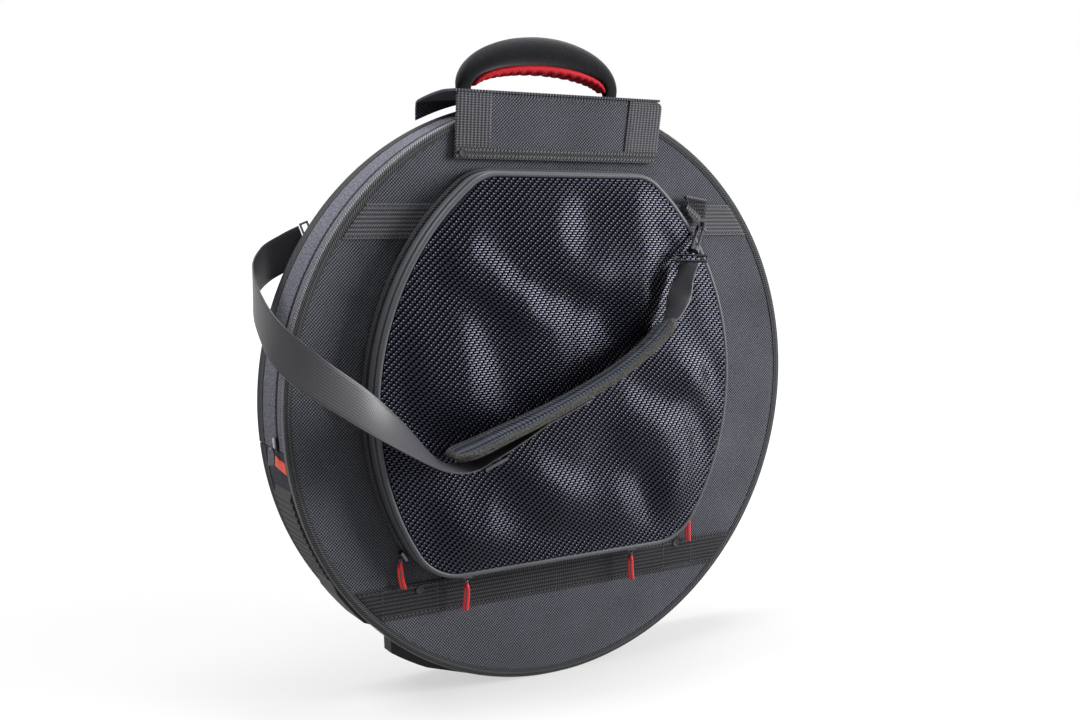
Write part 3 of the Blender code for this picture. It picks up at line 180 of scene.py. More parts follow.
@dataclass(frozen=True)
class Finish:
    """A plain moulded or coated surface with fine grain and slow changes of shade."""

    name: str
    slot: str
    colour: str
    shade: str
    roughness: float
    metallic: float = 0.0
    grain_mm: float = 1.5
    grain_depth_mm: float = 0.05
    patch_mm: float = 60.0
    sheen: float = 0.0
    coat: float = 0.0
    specular: float = 0.5

    def height(self, tree: Tree) -> Socket:
        """Return the relief of the surface, from 0 to 1."""
        return lumps(tree, 1000.0 / self.grain_mm, 2.0)

    def tint(self, tree: Tree, height: Socket) -> Socket:
        """Return the mix of the two colours by slow patches and by the relief."""
        share = calc(tree, "MULTIPLY_ADD", lumps(tree, 1000.0 / self.patch_mm, 3.0), 0.6, -0.1)
        share = calc(tree, "MULTIPLY_ADD", height, 0.5, share)
        return mixed(tree, share, self.shade, self.colour)

    def build(self) -> bpy.types.Material:
        """Make the material once.

        Returns:
            The material with this finish's name.
        """
        found = bpy.data.materials.get(self.name)
        if found:
            return found
        made = bpy.data.materials.new(self.name)
        made.use_nodes = True
        tree = made.node_tree
        shader = tree.nodes["Principled BSDF"]
        height = self.height(tree)
        feeds = {"Height": height, "Distance": self.grain_depth_mm / 1000.0, "Strength": 1.0}
        tree.links.new(self.tint(tree, height), shader.inputs["Base Color"])
        tree.links.new(add_node(tree, "Bump", feeds).outputs[0], shader.inputs["Normal"])
        for socket, value in (
            ("Roughness", self.roughness),
            ("Metallic", self.metallic),
            ("Sheen Weight", self.sheen),
            ("Coat Weight", self.coat),
            ("Specular IOR Level", self.specular),
        ):
            shader.inputs[socket].default_value = value
        self.polish(tree, shader, height)
        return made

    def polish(self, tree: Tree, shader: bpy.types.Node, height: Socket) -> None:
        """Let the relief change the gloss; plain finishes are even."""


@dataclass(frozen=True)
class Cloth(Finish):
    """A woven cloth whose threads follow the piece's own UV map, in metres."""

    grain_depth_mm: float = 0.5
    specular: float = 0.12
    weave: Weave = Weave.PLAIN
    thread_mm: float = 2.4
    patch_share: float = 0.30
    sharpness: float = 1.5

    def thread(self, tree: Tree, plan: Point | None) -> Socket:
        """Return one wave of the weave, from -1 to 1, or specks where there is no plan for it."""
        if plan is None:
            feeds = {"Vector": add_node(tree, "UVMap").outputs[0], "Scale": SPECKS_PER_METRE}
            return calc(tree, "MULTIPLY_ADD", add_node(tree, "TexNoise", feeds).outputs[0], 4.0, -1.8)
        along, across = piece_uv(tree)
        slant = calc(tree, "MULTIPLY_ADD", along, plan[0], calc(tree, "MULTIPLY", across, plan[1]))
        turns_per_metre = 2000.0 * math.pi / (self.thread_mm * plan[2])
        return calc(tree, "SINE", calc(tree, "MULTIPLY", slant, turns_per_metre))

    def height(self, tree: Tree) -> Socket:
        """Return the relief of the threads, from 0 to 1."""
        *plans, shares = self.weave.value
        level = 0.5
        for plan, share in zip(plans, shares):
            level = calc(tree, "MULTIPLY_ADD", self.thread(tree, plan), share, level)
        return calc(tree, "POWER", calc(tree, "MAXIMUM", level, 0.0), self.sharpness)

    def tint(self, tree: Tree, height: Socket) -> Socket:
        """Return the mix of the dark gap and the bright crest of the threads, with patches and fuzz."""
        patch = lumps(tree, 1000.0 / self.patch_mm, 2.0)
        spread = calc(tree, "ADD", patch, lumps(tree, FUZZ_PER_METRE, 1.0))
        shift = calc(tree, "MULTIPLY_ADD", spread, self.patch_share, -self.patch_share)
        return mixed(tree, calc(tree, "ADD", height, shift), self.shade, self.colour)


@dataclass(frozen=True)
class CarbonVinyl(Finish):
    """Glossy vinyl embossed as a 2/2 twill, rows rising to the upper right."""

    cell_mm: float = 2.6
    behind_height: float = 0.55
    gloss: float = 1.1
    highlight: str = "b9bcd6"

    def height(self, tree: Tree) -> Socket:
        """Return the rounded floats of the twill, from 0 to 1."""
        cells = [calc(tree, "MULTIPLY", length, 1000.0 / self.cell_mm) for length in piece_uv(tree)]
        whole = [calc(tree, "FLOOR", cell) for cell in cells]
        rest = [calc(tree, "FRACT", cell) for cell in cells]
        arches = [calc(tree, "SINE", calc(tree, "MULTIPLY", part, math.pi)) for part in rest]
        step = calc(tree, "FLOORED_MODULO", calc(tree, "SUBTRACT", *whole), 3.0)
        on_top, behind = (calc(tree, "LESS_THAN", step, limit) for limit in (0.5, 1.5))
        high = calc(tree, "MULTIPLY", calc(tree, "MULTIPLY", *arches), on_top)
        low = calc(tree, "MULTIPLY", calc(tree, "MULTIPLY", arches[1], behind), self.behind_height)
        return calc(tree, "MAXIMUM", high, low)

    def tint(self, tree: Tree, height: Socket) -> Socket:
        """Leave the sunk cells black and the floats a cold dark grey."""
        return mixed(tree, height, self.shade, self.colour)

    def polish(self, tree: Tree, shader: bpy.types.Node, height: Socket) -> None:
        """Gloss the floats and leave the sunk cells dull."""
        gloss = calc(tree, "MULTIPLY_ADD", height, self.gloss, 0.0, use_clamp=True)
        tree.links.new(gloss, shader.inputs["Specular IOR Level"])
        shader.inputs["Specular Tint"].default_value = linear(self.highlight)


@dataclass(frozen=True)
class StripedPull(Finish):
    """Red rubber pull with a dark line moulded along its middle, by the piece's own UV map."""

    line_mm: float = 1.3
    line_colour: str = "23272b"

    def tint(self, tree: Tree, height: Socket) -> Socket:
        """Return the red with its dark line."""
        off = calc(tree, "ABSOLUTE", piece_uv(tree)[1])
        on_line = calc(tree, "LESS_THAN", off, self.line_mm / 2000.0)
        return mixed(tree, on_line, super().tint(tree, height), self.line_colour)


# Ballistic nylon, woven from thick yarn: a dry bluish charcoal, near black between the threads.
# The yarn is about 0.8 mm apart and is drawn at 2.7 mm so that it shows.
FACE_NYLON = Cloth("ballistic_nylon", "nylon", "757780", "060709", 0.80, thread_mm=2.7, patch_mm=90.0)
# The gusset's looser cloth below the fold, a darker copy of the gusset's cloth as painted shade: dark grey with
# black specks.
NYLON_PAINTED_SHADE = Cloth(
    "gusset_nylon_painted_shade", "gusset_nylon", "565660", "101014", 0.80, weave=Weave.SPECKLED, thread_mm=2.7
)
# The same looser cloth round the top, a paler copy as painted light for where the padded gusset catches the light,
# with dark specks.
NYLON_PAINTED_LIGHT = Cloth(
    "gusset_nylon_painted_light", "gusset_nylon", "8b8b98", "2a2a30", 0.80,
    weave=Weave.SPECKLED, thread_mm=3.0, grain_depth_mm=0.35, patch_share=0.12,
)  # fmt: skip
# Braided polyester binding: slanted cords, dark between them.
BINDING_BRAID = Cloth(
    "binding_braid_polyester", "binding", "5e6062", "1e1e20", 0.75,
    weave=Weave.CORDED, thread_mm=2.8, grain_depth_mm=0.6, patch_share=0.15,
)  # fmt: skip
# Heavy polypropylene webbing: near black ribs with a dull gloss, real ribs 1.5 mm drawn at 4.3 mm.
BAND_WEBBING = Cloth(
    "webbing_polypropylene_ribbed", "webbing", "6c6b72", "09090b", 0.66,
    weave=Weave.RIBBED, thread_mm=4.3, grain_depth_mm=0.6, patch_share=0.2, specular=0.2,
)  # fmt: skip
# The same webbing on the lower band and the tabs' patches, a darker, duller copy as painted shade, since they turn
# from the light.
WEBBING_PAINTED_SHADE = Cloth(
    "band_webbing_painted_shade", "webbing", "47474b", "060607", 0.80, weave=Weave.RIBBED, thread_mm=4.3, specular=0.15
)
# Shoulder webbing, tightly woven and calendered: smooth dark grey with a soft gloss.
STRAP_WEBBING = Cloth(
    "webbing_nylon_calendered", "strap_webbing", "505055", "232326", 0.42,
    weave=Weave.RIBBED, thread_mm=2.6, grain_depth_mm=0.08, patch_share=0.1, specular=0.4,
)  # fmt: skip
# Air mesh over the strap pad: bluish ribs over dark holes.
PAD_MESH = Cloth(
    "air_mesh_polyester", "mesh_pad", "5d626e", "08090b", 0.85, weave=Weave.MESH, thread_mm=3.6, grain_depth_mm=0.8
)
# Knitted edge binding of the strap pad: pale crests, rough.
PAD_BINDING = Cloth(
    "knitted_edge_binding", "binding", "5f5e5c", "141414", 0.8, weave=Weave.SPECKLED, thread_mm=2.6
)
# Zip tape and coil: black, with the coil's turns 3 mm apart.
ZIP_COIL = Cloth("zip_coil_nylon", "zip_tape", "26262a", "030304", 0.55, thread_mm=3.0, specular=0.2)
# Embossed vinyl with a gloss lacquer: black sunk cells, floats with cold highlights.
CARBON_VINYL = CarbonVinyl("vinyl_twill_embossed", "carbon_vinyl", "1c1d27", "020204", 0.22, grain_depth_mm=0.5)
# Coated polyurethane edge and piping: even mid grey, fine leather grain, half gloss.
GREY_VINYL = Finish(
    "polyurethane_coated", "grey_vinyl", "54555a", "424348", 0.42, grain_mm=2.5, grain_depth_mm=0.10, specular=0.25
)
# Moulded rubber of the skids, feet and rivet heads: black with a dull gloss.
RUBBER = Finish("rubber_moulded", "rubber", "414142", "1b1b1c", 0.62, grain_depth_mm=0.08, specular=0.25)
# Cotton velour cover: black pile with a bluish sheen at grazing angles.
VELOUR = Finish(
    "velour_cotton", "velour", "191b22", "050507", 0.95,
    sheen=0.25, grain_mm=2.2, grain_depth_mm=0.6, patch_mm=25.0, specular=0.1,
)  # fmt: skip
# Dyed cotton twill of the lining: a soft, full red.
RED_CLOTH = Cloth(
    "cotton_twill_red", "red_cloth", "e02a38", "9c1420", 0.75, weave=Weave.TWILL, grain_depth_mm=0.25, specular=0.2
)
# Satin ribbon of the end tabs: bright orange with a silky gloss.
ORANGE_RIBBON = Cloth(
    "satin_ribbon_orange", "orange_cloth", "ff5226", "ee4d2a", 0.5,
    weave=Weave.RIBBED, grain_depth_mm=0.1, specular=0.3,
)  # fmt: skip
# Moulded red rubber with its dark line.
RED_PULL = StripedPull("rubber_pull_red", "red_pull", "f32a2e", "c8262e", 0.45, grain_depth_mm=0.03)
# Zinc casting, black nickel plated: dark mirror with light smears.
BLACK_NICKEL = Finish(
    "zinc_black_nickel", "black_chrome", "54555b", "2a2b30", 0.16,
    metallic=1.0, coat=0.7, grain_mm=12.0, grain_depth_mm=0.02,
)  # fmt: skip
# Foam in grey cloth, inside the case: flat and even.
PADDING = Cloth(
    "padding_lining_cloth", "padding", "3d3d42", "2a2a2e", 0.9, thread_mm=3.0, grain_depth_mm=0.2, specular=0.5
)
# Bonded black sewing thread, a shade lighter than the cloth.
THREAD = Finish("sewing_thread_bonded", "webbing", "505055", "2c2c2f", 0.55, grain_mm=0.8)
# The hem's thicker thread: mid grey, dull.
HEM_THREAD = Finish("hem_thread_spun", "webbing", "6c6b6e", "4a494c", 0.7, grain_mm=0.8)
# Whipping cord along the outer edge of the front binding: real slanted turns, painted pale grey all round as a
# painted highlight for the light they catch.
WHIP_CORD = Finish("whipping_cord_painted_highlight", "binding", "a09fa1", "6a696b", 0.7, grain_mm=0.8)


# ---------------------------------------------------------------- bench work


def take(piece: Thing) -> None:
    """Leave edit mode, deselect everything and take one piece in hand."""
    if bpy.context.mode != "OBJECT":
        bpy.ops.object.mode_set(mode="OBJECT")
    bpy.ops.object.select_all(action="DESELECT")
    piece.select_set(True)
    bpy.context.view_layer.objects.active = piece


@contextmanager
def editing(piece: Thing) -> Iterator[None]:
    """Open a piece in edit mode with all of it selected, and close it again."""
    take(piece)
    bpy.ops.object.mode_set(mode="EDIT")
    bpy.ops.mesh.select_all(action="SELECT")
    yield
    bpy.ops.object.mode_set(mode="OBJECT")


def new_mesh(name: str, add: Callable, **settings) -> Thing:
    """Add a primitive mesh.

    Args:
        name: name of the piece.
        add: Blender's operator that adds it.
        settings: arguments of the operator.

    Returns:
        The new piece.
    """
    bpy.ops.object.select_all(action="DESELECT")
    add(**settings)
    piece = bpy.context.active_object
    piece.name = piece.data.name = name
    return piece


def new_thing(name: str, data: bpy.types.ID) -> Thing:
    """Put new data into the scene as an object."""
    thing = bpy.data.objects.new(name, data)
    bpy.context.scene.collection.objects.link(thing)
    return thing


def seal(piece: Thing, close_ends: bool = False) -> None:
    """Merge doubles, close open ends if asked, and turn the faces outwards."""
    with editing(piece):
        bpy.ops.mesh.remove_doubles(threshold=0.00002)
        if close_ends:
            bpy.ops.mesh.fill_holes(sides=0)
            bpy.ops.mesh.select_all(action="SELECT")
        bpy.ops.mesh.normals_make_consistent(inside=False)


def shape(piece: Thing, kind: str, **settings) -> None:
    """Add a modifier of this kind with these settings, and apply it."""
    change = piece.modifiers.new(kind.lower(), kind)
    for name, value in settings.items():
        setattr(change, name, value)
    take(piece)
    bpy.ops.object.modifier_apply(modifier=change.name)


def thicken(piece: Thing, thick: float, offset: float, bevel: float = 0.0, segments: int = 2) -> None:
    """Give an open sheet its thickness, and round its edges.

    Args:
        piece: open sheet.
        thick: thickness of the cloth.
        offset: 1 along the sheet's normals, -1 against them, 0 to both sides.
        bevel: width of the rounded edges, 0 for none.
        segments: faces across a rounded edge.
    """
    shape(piece, "SOLIDIFY", thickness=thick, offset=offset)
    seal(piece)
    if bevel:
        shape(piece, "BEVEL", width=bevel, segments=segments, angle_limit=math.radians(50.0))


def face_forward(piece: Thing) -> None:
    """Turn an open sheet's faces towards the front."""
    if sum(face.normal.y for face in piece.data.polygons) > 0.0:
        piece.data.flip_normals()


def upright_cylinder(name: str, radius: float, thick: float, middle: Point, sides: int) -> Thing:
    """Add a cylinder about the depth axis, this thick, with its middle here."""
    add = bpy.ops.mesh.primitive_cylinder_add
    piece = new_mesh(name, add, vertices=sides, radius=radius, depth=thick, location=middle)
    piece.rotation_euler = (QUARTER, 0.0, 0.0)
    bpy.ops.object.transform_apply(location=True, rotation=True, scale=True)
    return piece


def bent_grid(name: str, columns: int, rows: int, place: Place, size: Pair) -> Thing:
    """Add a grid and bend it to a surface.

    Args:
        name: name of the piece.
        columns: faces along the first share.
        rows: faces along the second share.
        place: gives the point for two shares from 0 to 1.
        size: real length and width, in metres, for the UV map.

    Returns:
        The bent grid, with UVs in metres.
    """
    add = bpy.ops.mesh.primitive_grid_add
    piece = new_mesh(name, add, x_subdivisions=columns, y_subdivisions=rows, size=1.0, calc_uvs=True)
    for vert in piece.data.vertices:
        vert.co = place(vert.co.x + 0.5, vert.co.y + 0.5)
    for corner in piece.data.uv_layers.active.data:
        corner.uv = (corner.uv[0] * size[0], corner.uv[1] * size[1])
    return piece


def lay_uv(piece: Thing, place: Callable[[bpy.types.MeshVertex, bpy.types.MeshPolygon], Pair]) -> None:
    """Write the UV map: place gives a corner's UV, in metres, from its vertex and its face."""
    data = piece.data
    layer = data.uv_layers.active or data.uv_layers.new(name="UVMap")
    for face in data.polygons:
        for i in face.loop_indices:
            layer.data[i].uv = place(data.vertices[data.loops[i].vertex_index], face)


def lay_flat_uv(piece: Thing) -> None:
    """Write UVs from the bag's own X and Z."""
    lay_uv(piece, lambda vert, _: (vert.co.x, vert.co.z))


def spun_ring(name: str, profile: Section, start: float = 0.0, sweep: float = 360.0, steps: int = 144) -> Thing:
    """Spin a closed (radius, depth) profile about the depth axis.

    Args:
        name: name of the piece.
        profile: corners of the section.
        start: first angle in degrees, from +X towards +Z.
        sweep: angle turned, in degrees.
        steps: faces along the whole sweep.

    Returns:
        The ring, with UVs in metres: along the rim, and across the tape.
    """
    piece = new_mesh(name, bpy.ops.mesh.primitive_circle_add, vertices=len(profile), radius=1.0)
    turn = math.radians(start)
    for vert, (radius, depth) in zip(piece.data.vertices, profile):
        vert.co = (radius * math.cos(turn), depth, radius * math.sin(turn))
    with editing(piece):
        bpy.ops.mesh.spin(steps=steps, angle=math.radians(sweep), center=(0.0, 0.0, 0.0), axis=-FORWARD)
    seal(piece, close_ends=sweep < 360.0)
    outer = max(radius for radius, _ in profile)

    def round_uv(vert: bpy.types.MeshVertex, face: bpy.types.MeshPolygon) -> Pair:
        """Return the length along the rim, true at the outer radius, and the length across."""
        spot, base = vert.co, math.atan2(face.center.z, face.center.x)
        off = (math.atan2(spot.z, spot.x) - base + math.pi) % (2.0 * math.pi) - math.pi
        return (base + off) * outer, spot.y + math.hypot(spot.x, spot.z) - outer

    lay_uv(piece, round_uv)
    return piece


def lofted(name: str, rows: Sequence[Sequence[Vector]], closed: bool = True) -> Thing:
    """Skin closed rows of points.

    Args:
        name: name of the piece.
        rows: rows of equal length; each row is closed.
        closed: join the last row to the first; otherwise both ends stay open.

    Returns:
        The skin, with UVs in metres along and across the rows.
    """
    count = len(rows[0])
    spans = len(rows) if closed else len(rows) - 1
    length = sum((rows[0][i] - rows[0][i - 1]).length for i in range(count))
    width = sum((rows[(j + 1) % len(rows)][0] - rows[j][0]).length for j in range(spans))

    def place(s: float, t: float) -> Vector:
        """Return the point of the row and column nearest to these shares."""
        return rows[round(t * spans) % len(rows)][round(s * count) % count]

    piece = bent_grid(name, count, spans, place, (length, width))
    seal(piece)
    return piece


def stuffed(name: str, rows: Sequence[Sequence[Vector]]) -> Thing:
    """Skin closed rows of points and close both ends."""
    piece = lofted(name, rows, closed=False)
    seal(piece, close_ends=True)
    return piece


def tube(name: str, points: Sequence[Vector], radius: float, closed: bool = False) -> Thing:
    """Sweep a round cord along points.

    Args:
        name: name of the piece.
        points: middle line.
        radius: radius of the cord.
        closed: join the last point to the first.

    Returns:
        The cord as a mesh, with UVs in metres: the length along it, and how far off the line a corner lies.
    """
    data = bpy.data.curves.new(name, "CURVE")
    data.dimensions = "3D"
    data.bevel_depth = radius
    data.bevel_resolution = 3
    data.use_fill_caps = not closed
    spline = data.splines.new("POLY")
    spline.points.add(len(points) - 1)
    for knot, spot in zip(spline.points, points):
        knot.co = (*spot, 1.0)
    spline.use_cyclic_u = closed
    take(new_thing(name, data))
    bpy.ops.object.convert(target="MESH")
    piece = bpy.context.active_object
    seal(piece)
    run = path_lengths(points)
    values = []
    for vert in piece.data.vertices:
        near = min(range(len(points)), key=lambda i: (points[i] - vert.co).length_squared)
        ahead = points[min(near + 1, len(points) - 1)] - points[max(near - 1, 0)]
        off = vert.co - points[near]
        side = FORWARD.cross(-ahead).normalized()
        values.append((run[near] + off.dot(ahead.normalized()), off.y + off.dot(side)))
    lay_uv(piece, lambda vert, _: values[vert.index])
    return piece


def path_lengths(points: Sequence[Vector]) -> list[float]:
    """Return the length run from the first point to each point."""
    run = [0.0]
    for low, high in zip(points, points[1:]):
        run.append(run[-1] + (high - low).length)
    return run


@dataclass(frozen=True)
class Stitch:
    """Size of one stitch of a seam; the real 3 mm pitch is drawn longer so that it shows."""

    pitch: float = 0.0050
    length: float = 0.0034
    width: float = 0.0011
    rise: float = 0.0009
    slant: float = 0.0


HEM_STITCH = Stitch(pitch=0.0044, length=0.0044, width=0.0017, rise=0.0010, slant=38.0)
WHIP_STITCH = Stitch(pitch=0.0027, length=0.0070, width=0.0016, rise=0.0010, slant=55.0)


def stitches(name: str, path: Sequence[Vector], outward: Vector | None, stitch: Stitch = Stitch()) -> Thing:
    """Sew a row of stitches along a path.

    Args:
        name: name of the piece.
        path: line of the seam on the cloth.
        outward: direction that the cloth faces; out and forward from the depth axis if none is given.
        stitch: size, pitch and slant of each stitch.

    Returns:
        All the stitches of the row as one mesh.
    """
    add = bpy.ops.mesh.primitive_uv_sphere_add
    pattern = new_mesh("stitch_pattern", add, segments=6, ring_count=4, radius=0.5)
    shapes = [vert.co.copy() for vert in pattern.data.vertices]
    faces = [list(face.vertices) for face in pattern.data.polygons]
    bpy.data.objects.remove(pattern, do_unlink=True)
    spots, corners = [], []
    rest = 0.0
    for low, high in zip(path, path[1:]):
        span = (high - low).length
        way = (high - low) / span
        up = outward or (Vector((low.x, 0.0, low.z)).normalized() + FORWARD * 0.7).normalized()
        side = up.cross(way).normalized()
        lie = Matrix.Rotation(math.radians(stitch.slant), 3, up)
        long, wide = lie @ way * stitch.length, lie @ side * stitch.width
        at = rest
        while at < span:
            middle, first = low + way * at, len(spots)
            spots += [middle + long * spot.x + wide * spot.y + up * (stitch.rise * spot.z) for spot in shapes]
            corners += [[first + i for i in face] for face in faces]
            at += stitch.pitch
        rest = at - span
    mesh = bpy.data.meshes.new(name)
    mesh.from_pydata(spots, [], corners)
    return new_thing(name, mesh)


def deliver(
    piece: Thing, finish: Finish, body: Body | str | None, nodes: Sequence[str] = (), smooth: float = 40.0
) -> Thing:
    """Move a finished piece onto the frame, dress it and let it ride.

    Args:
        piece: piece drawn in the bag's own frame.
        finish: its finish.
        body: body that it rides on, or None to leave it riding on no body.
        nodes: CAD nodes that it stands for.
        smooth: angle below which edges are shaded round, in degrees.

    Returns:
        The piece.
    """
    take(piece)
    piece.location = ORIGIN
    bpy.ops.object.transform_apply(location=True, rotation=True, scale=True)
    bpy.ops.object.shade_smooth_by_angle(angle=math.radians(smooth))
    piece.data.materials.clear()
    piece.data.materials.append(finish.build())
    if body is not None:
        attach(piece, body.value if isinstance(body, Body) else body)
    if nodes:
        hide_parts(*nodes)
    LOG.info("%s: %s, %d faces", piece.name, finish.name, len(piece.data.polygons))
    return piece


def repaint(node: str, finish: Finish) -> None:
    """Give a CAD node whose shape stays a better material."""
    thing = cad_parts[node]
    if not thing.material_slots:
        thing.data.materials.append(finish.build())
    for slot in thing.material_slots:
        slot.material = finish.build()
    LOG.info("%s keeps its solid: %s", node, finish.name)


def wrinkle(x: float, z: float, size: float, seed: float) -> float:
    """Return soft noise from -1 to 1 at a point of the face, with lumps of this size in metres."""
    return noise.noise(Vector((x / size, z / size, seed)))


def ease(value: float, low: float, high: float) -> float:
    """Return a smooth step from 0 at low to 1 at high."""
    share = max(0.0, min(1.0, (value - low) / (high - low)))
    return share * share * (3.0 - 2.0 * share)


def turns(count: int) -> list[float]:
    """Return this many even angles round a circle, in radians."""
    return [2.0 * math.pi * i / count for i in range(count)]


def soft_oval(count: int, cos_power: float, sin_power: float) -> list[Pair]:
    """Return the cosine and sine of even turns, squared off by powers below 1."""
    powers = (cos_power, sin_power)
    spots = ((math.cos(turn), math.sin(turn)) for turn in turns(count))
    return [tuple(math.copysign(abs(v) ** p, v) for v, p in zip(spot, powers)) for spot in spots]


# ---------------------------------------------------------------- case


@dataclass
class Case:
    """Round shell: two padded faces, the gusset with its zip, and the braided bindings."""

    face: float = 0.3157
    gusset: float = 0.3235
    wall: float = 0.0040
    swell: float = 0.0005
    cloth: float = 0.0048
    back: float = 0.0736
    chord: float = -0.0370
    gap: float = 0.0003
    rings: int = 26
    # Lumps of the face's cloth as (depth, size, seed), and the folds above the pocket: their middle, their
    # half width and height, and their depth.
    lumps: tuple[Point, ...] = ((0.0008, 0.11, 0.3), (0.0004, 0.035, 4.1))
    folds_at: Pair = (-0.20, 0.12)
    folds_size: Pair = (0.09, 0.10)
    folds_depth: float = 0.0009
    # Depths between which the gusset runs, and where it stops beside the zip.
    walls: Pair = (0.0078, 0.0733)
    beside_zip: Pair = (0.0221, 0.0279)
    # Near depth of each half of the zip, and the width of its coil.
    coils: Pair = (0.0224, 0.0253)
    coil: float = 0.0023
    # The bindings, as (radius, depth), and the line of the whipping round the front one.
    front_edge: Section = (
        (0.3160, 0.0040), (0.3160, -0.0008), (0.3188, -0.0013), (0.3212, -0.0015), (0.3232, -0.0011),
        (0.3246, 0.0003), (0.3250, 0.0024), (0.3247, 0.0045), (0.3244, 0.0070), (0.3236, 0.0075),
        (0.3200, 0.0070),
    )  # fmt: skip
    rear_edge: Section = (
        (0.3160, 0.0738), (0.3238, 0.0736), (0.3238, 0.0626), (0.3246, 0.0628), (0.3249, 0.0650),
        (0.3243, 0.0670), (0.3242, 0.0730), (0.3249, 0.0752), (0.3250, 0.0775), (0.3240, 0.0793),
        (0.3222, 0.0801), (0.3198, 0.0797), (0.3160, 0.0792),
    )  # fmt: skip
    whipping: Pair = (0.3246, 0.0012)

    def sweep(self, radius: float, side: int) -> Pair:
        """Return the first angle and the sweep above (1) or below (-1) the fold, in degrees."""
        lean = math.degrees(math.asin((self.chord + side * self.gap) / radius))
        return (lean, 180.0 - 2.0 * lean) if side > 0 else (180.0 - lean, 180.0 + 2.0 * lean)

    def disc(self, name: str, near: float, relief: Callable[[float, float], float]) -> Thing:
        """Make a padded round panel from a circle that is inset to its middle.

        Args:
            name: name of the piece.
            near: depth of its front.
            relief: how deep a point lies in the cloth, in metres.

        Returns:
            The panel.
        """
        add, stand = bpy.ops.mesh.primitive_circle_add, (QUARTER, 0.0, 0.0)
        piece = new_mesh(name, add, vertices=128, radius=self.face, fill_type="NGON", rotation=stand)
        bpy.ops.object.transform_apply(location=False, rotation=True, scale=True)
        with editing(piece):
            for _ in range(self.rings):
                bpy.ops.mesh.inset(thickness=self.face / (self.rings + 1.5), depth=0.0)
        for vert in piece.data.vertices:
            vert.co.y = near + relief(vert.co.x, vert.co.z)
        seal(piece)
        lay_flat_uv(piece)
        face_forward(piece)
        shape(piece, "SOLIDIFY", thickness=self.cloth, offset=-1.0)
        return piece

    def face_relief(self, x: float, z: float) -> float:
        """Return how far the front cloth sinks at a point, with soft wrinkles above the pocket."""
        held = 1.0 - ease(math.hypot(x, z) / self.face, 0.90, 1.0)
        soft = sum(depth * (1.0 + wrinkle(x, z, size, seed)) for depth, size, seed in self.lumps)
        off = [(value - at) / size for value, at, size in zip((x, z), self.folds_at, self.folds_size)]
        near_folds = math.exp(-(off[0] ** 2) - off[1] ** 2)
        across = x * 0.8 + z * 0.6
        waves = 1.0 + math.sin(across * 190.0 + 4.0 * wrinkle(x, z, 0.06, 7.7))
        soft += near_folds * self.folds_depth * waves
        return held * soft

    def half_disc(self, name: str, side: int) -> Thing:
        """Make the back panel above (1) or below (-1) the fold: a full panel cut along the chord."""
        piece = self.disc(name, self.back, lambda x, z: 0.0)
        cut, away = (0.0, 0.0, self.chord + side * self.gap), (0.0, 0.0, float(side))
        with editing(piece):
            bpy.ops.mesh.bisect(plane_co=cut, plane_no=away, use_fill=True, clear_inner=True)
        seal(piece)
        lay_flat_uv(piece)
        return piece

    def wall_profile(self, near: float, far: float) -> list[Pair]:
        """Return the section of a padded wall, swollen a little between its seams."""
        inner, outer, soft = self.gusset - self.wall, self.gusset, 0.0008
        rows = [(inner, near), (outer - soft, near), (outer, near + soft)]
        rows += [(outer + self.swell, near + (far - near) * share) for share in (0.3, 0.5, 0.7)]
        return rows + [(outer, far - soft), (outer - soft, far), (inner, far)]

    def coil_profile(self, near: float) -> list[Pair]:
        """Return the section of one half of the zip, which stands just out of the gusset."""
        outer, far = self.gusset + 0.0001, near + self.coil
        low, high = outer - 0.0022, outer - 0.0006
        return [(low, near), (high, near), (outer, near + self.coil * 0.5), (high, far), (low, far)]

    def build(self) -> None:
        """Make and dress the shell."""
        deliver(self.disc("face_panel", 0.0, self.face_relief), FACE_NYLON, Body.FRONT, ["front_panel"])
        edge = spun_ring("face_binding", self.front_edge, steps=192)
        deliver(edge, BINDING_BRAID, Body.FRONT, ["front_binding"], 60.0)
        radius, depth = self.whipping
        rim = [Vector((radius * math.cos(a), depth, radius * math.sin(a))) for a in turns(720) + [2.0 * math.pi]]
        deliver(stitches("face_binding_whipping", rim, None, WHIP_STITCH), WHIP_CORD, Body.FRONT)
        (near, far), (stop, go), inner = self.walls, self.beside_zip, self.gusset - self.wall
        # The upper gusset takes the cloth's paler copy as painted light, the bottom its darker copy as painted
        # shade.
        for name, ends, side, radius, cloth, body, node in (
            ("gusset_front", (near, stop), 1, self.gusset, NYLON_PAINTED_LIGHT, Body.FRONT, "front_gusset"),
            ("gusset_lid", (go, far), 1, self.gusset, NYLON_PAINTED_LIGHT, Body.BACK, "rear_gusset"),
            ("gusset_bottom", (near, far), -1, inner, NYLON_PAINTED_SHADE, Body.FRONT, "lower_gusset"),
        ):
            ring = spun_ring(name, self.wall_profile(*ends), *self.sweep(radius, side), 220)
            deliver(ring, cloth, body, [node])
        for name, depth, body, node in (
            ("zip_front_half", self.coils[0], Body.FRONT, "front_zip_tape"),
            ("zip_lid_half", self.coils[1], Body.BACK, "rear_zip_tape"),
        ):
            ring = spun_ring(name, self.coil_profile(depth), *self.sweep(self.gusset, 1), 160)
            deliver(ring, ZIP_COIL, body, [node], 20.0)
        radii = [radius for radius, _ in self.rear_edge]
        halves = (("lid", 1, max(radii), Body.BACK, "upper"), ("bottom", -1, min(radii), Body.FRONT, "lower"))
        for word, side, radius, body, node in halves:
            ring = spun_ring(f"back_binding_{word}", self.rear_edge, *self.sweep(radius, side), 120)
            deliver(ring, BINDING_BRAID, body, [f"{node}_back_binding"], 60.0)
        for word, side, _, body, node in halves:
            deliver(self.half_disc(f"back_panel_{word}", side), FACE_NYLON, body, [f"{node}_back_panel"])
        self.build_divider()

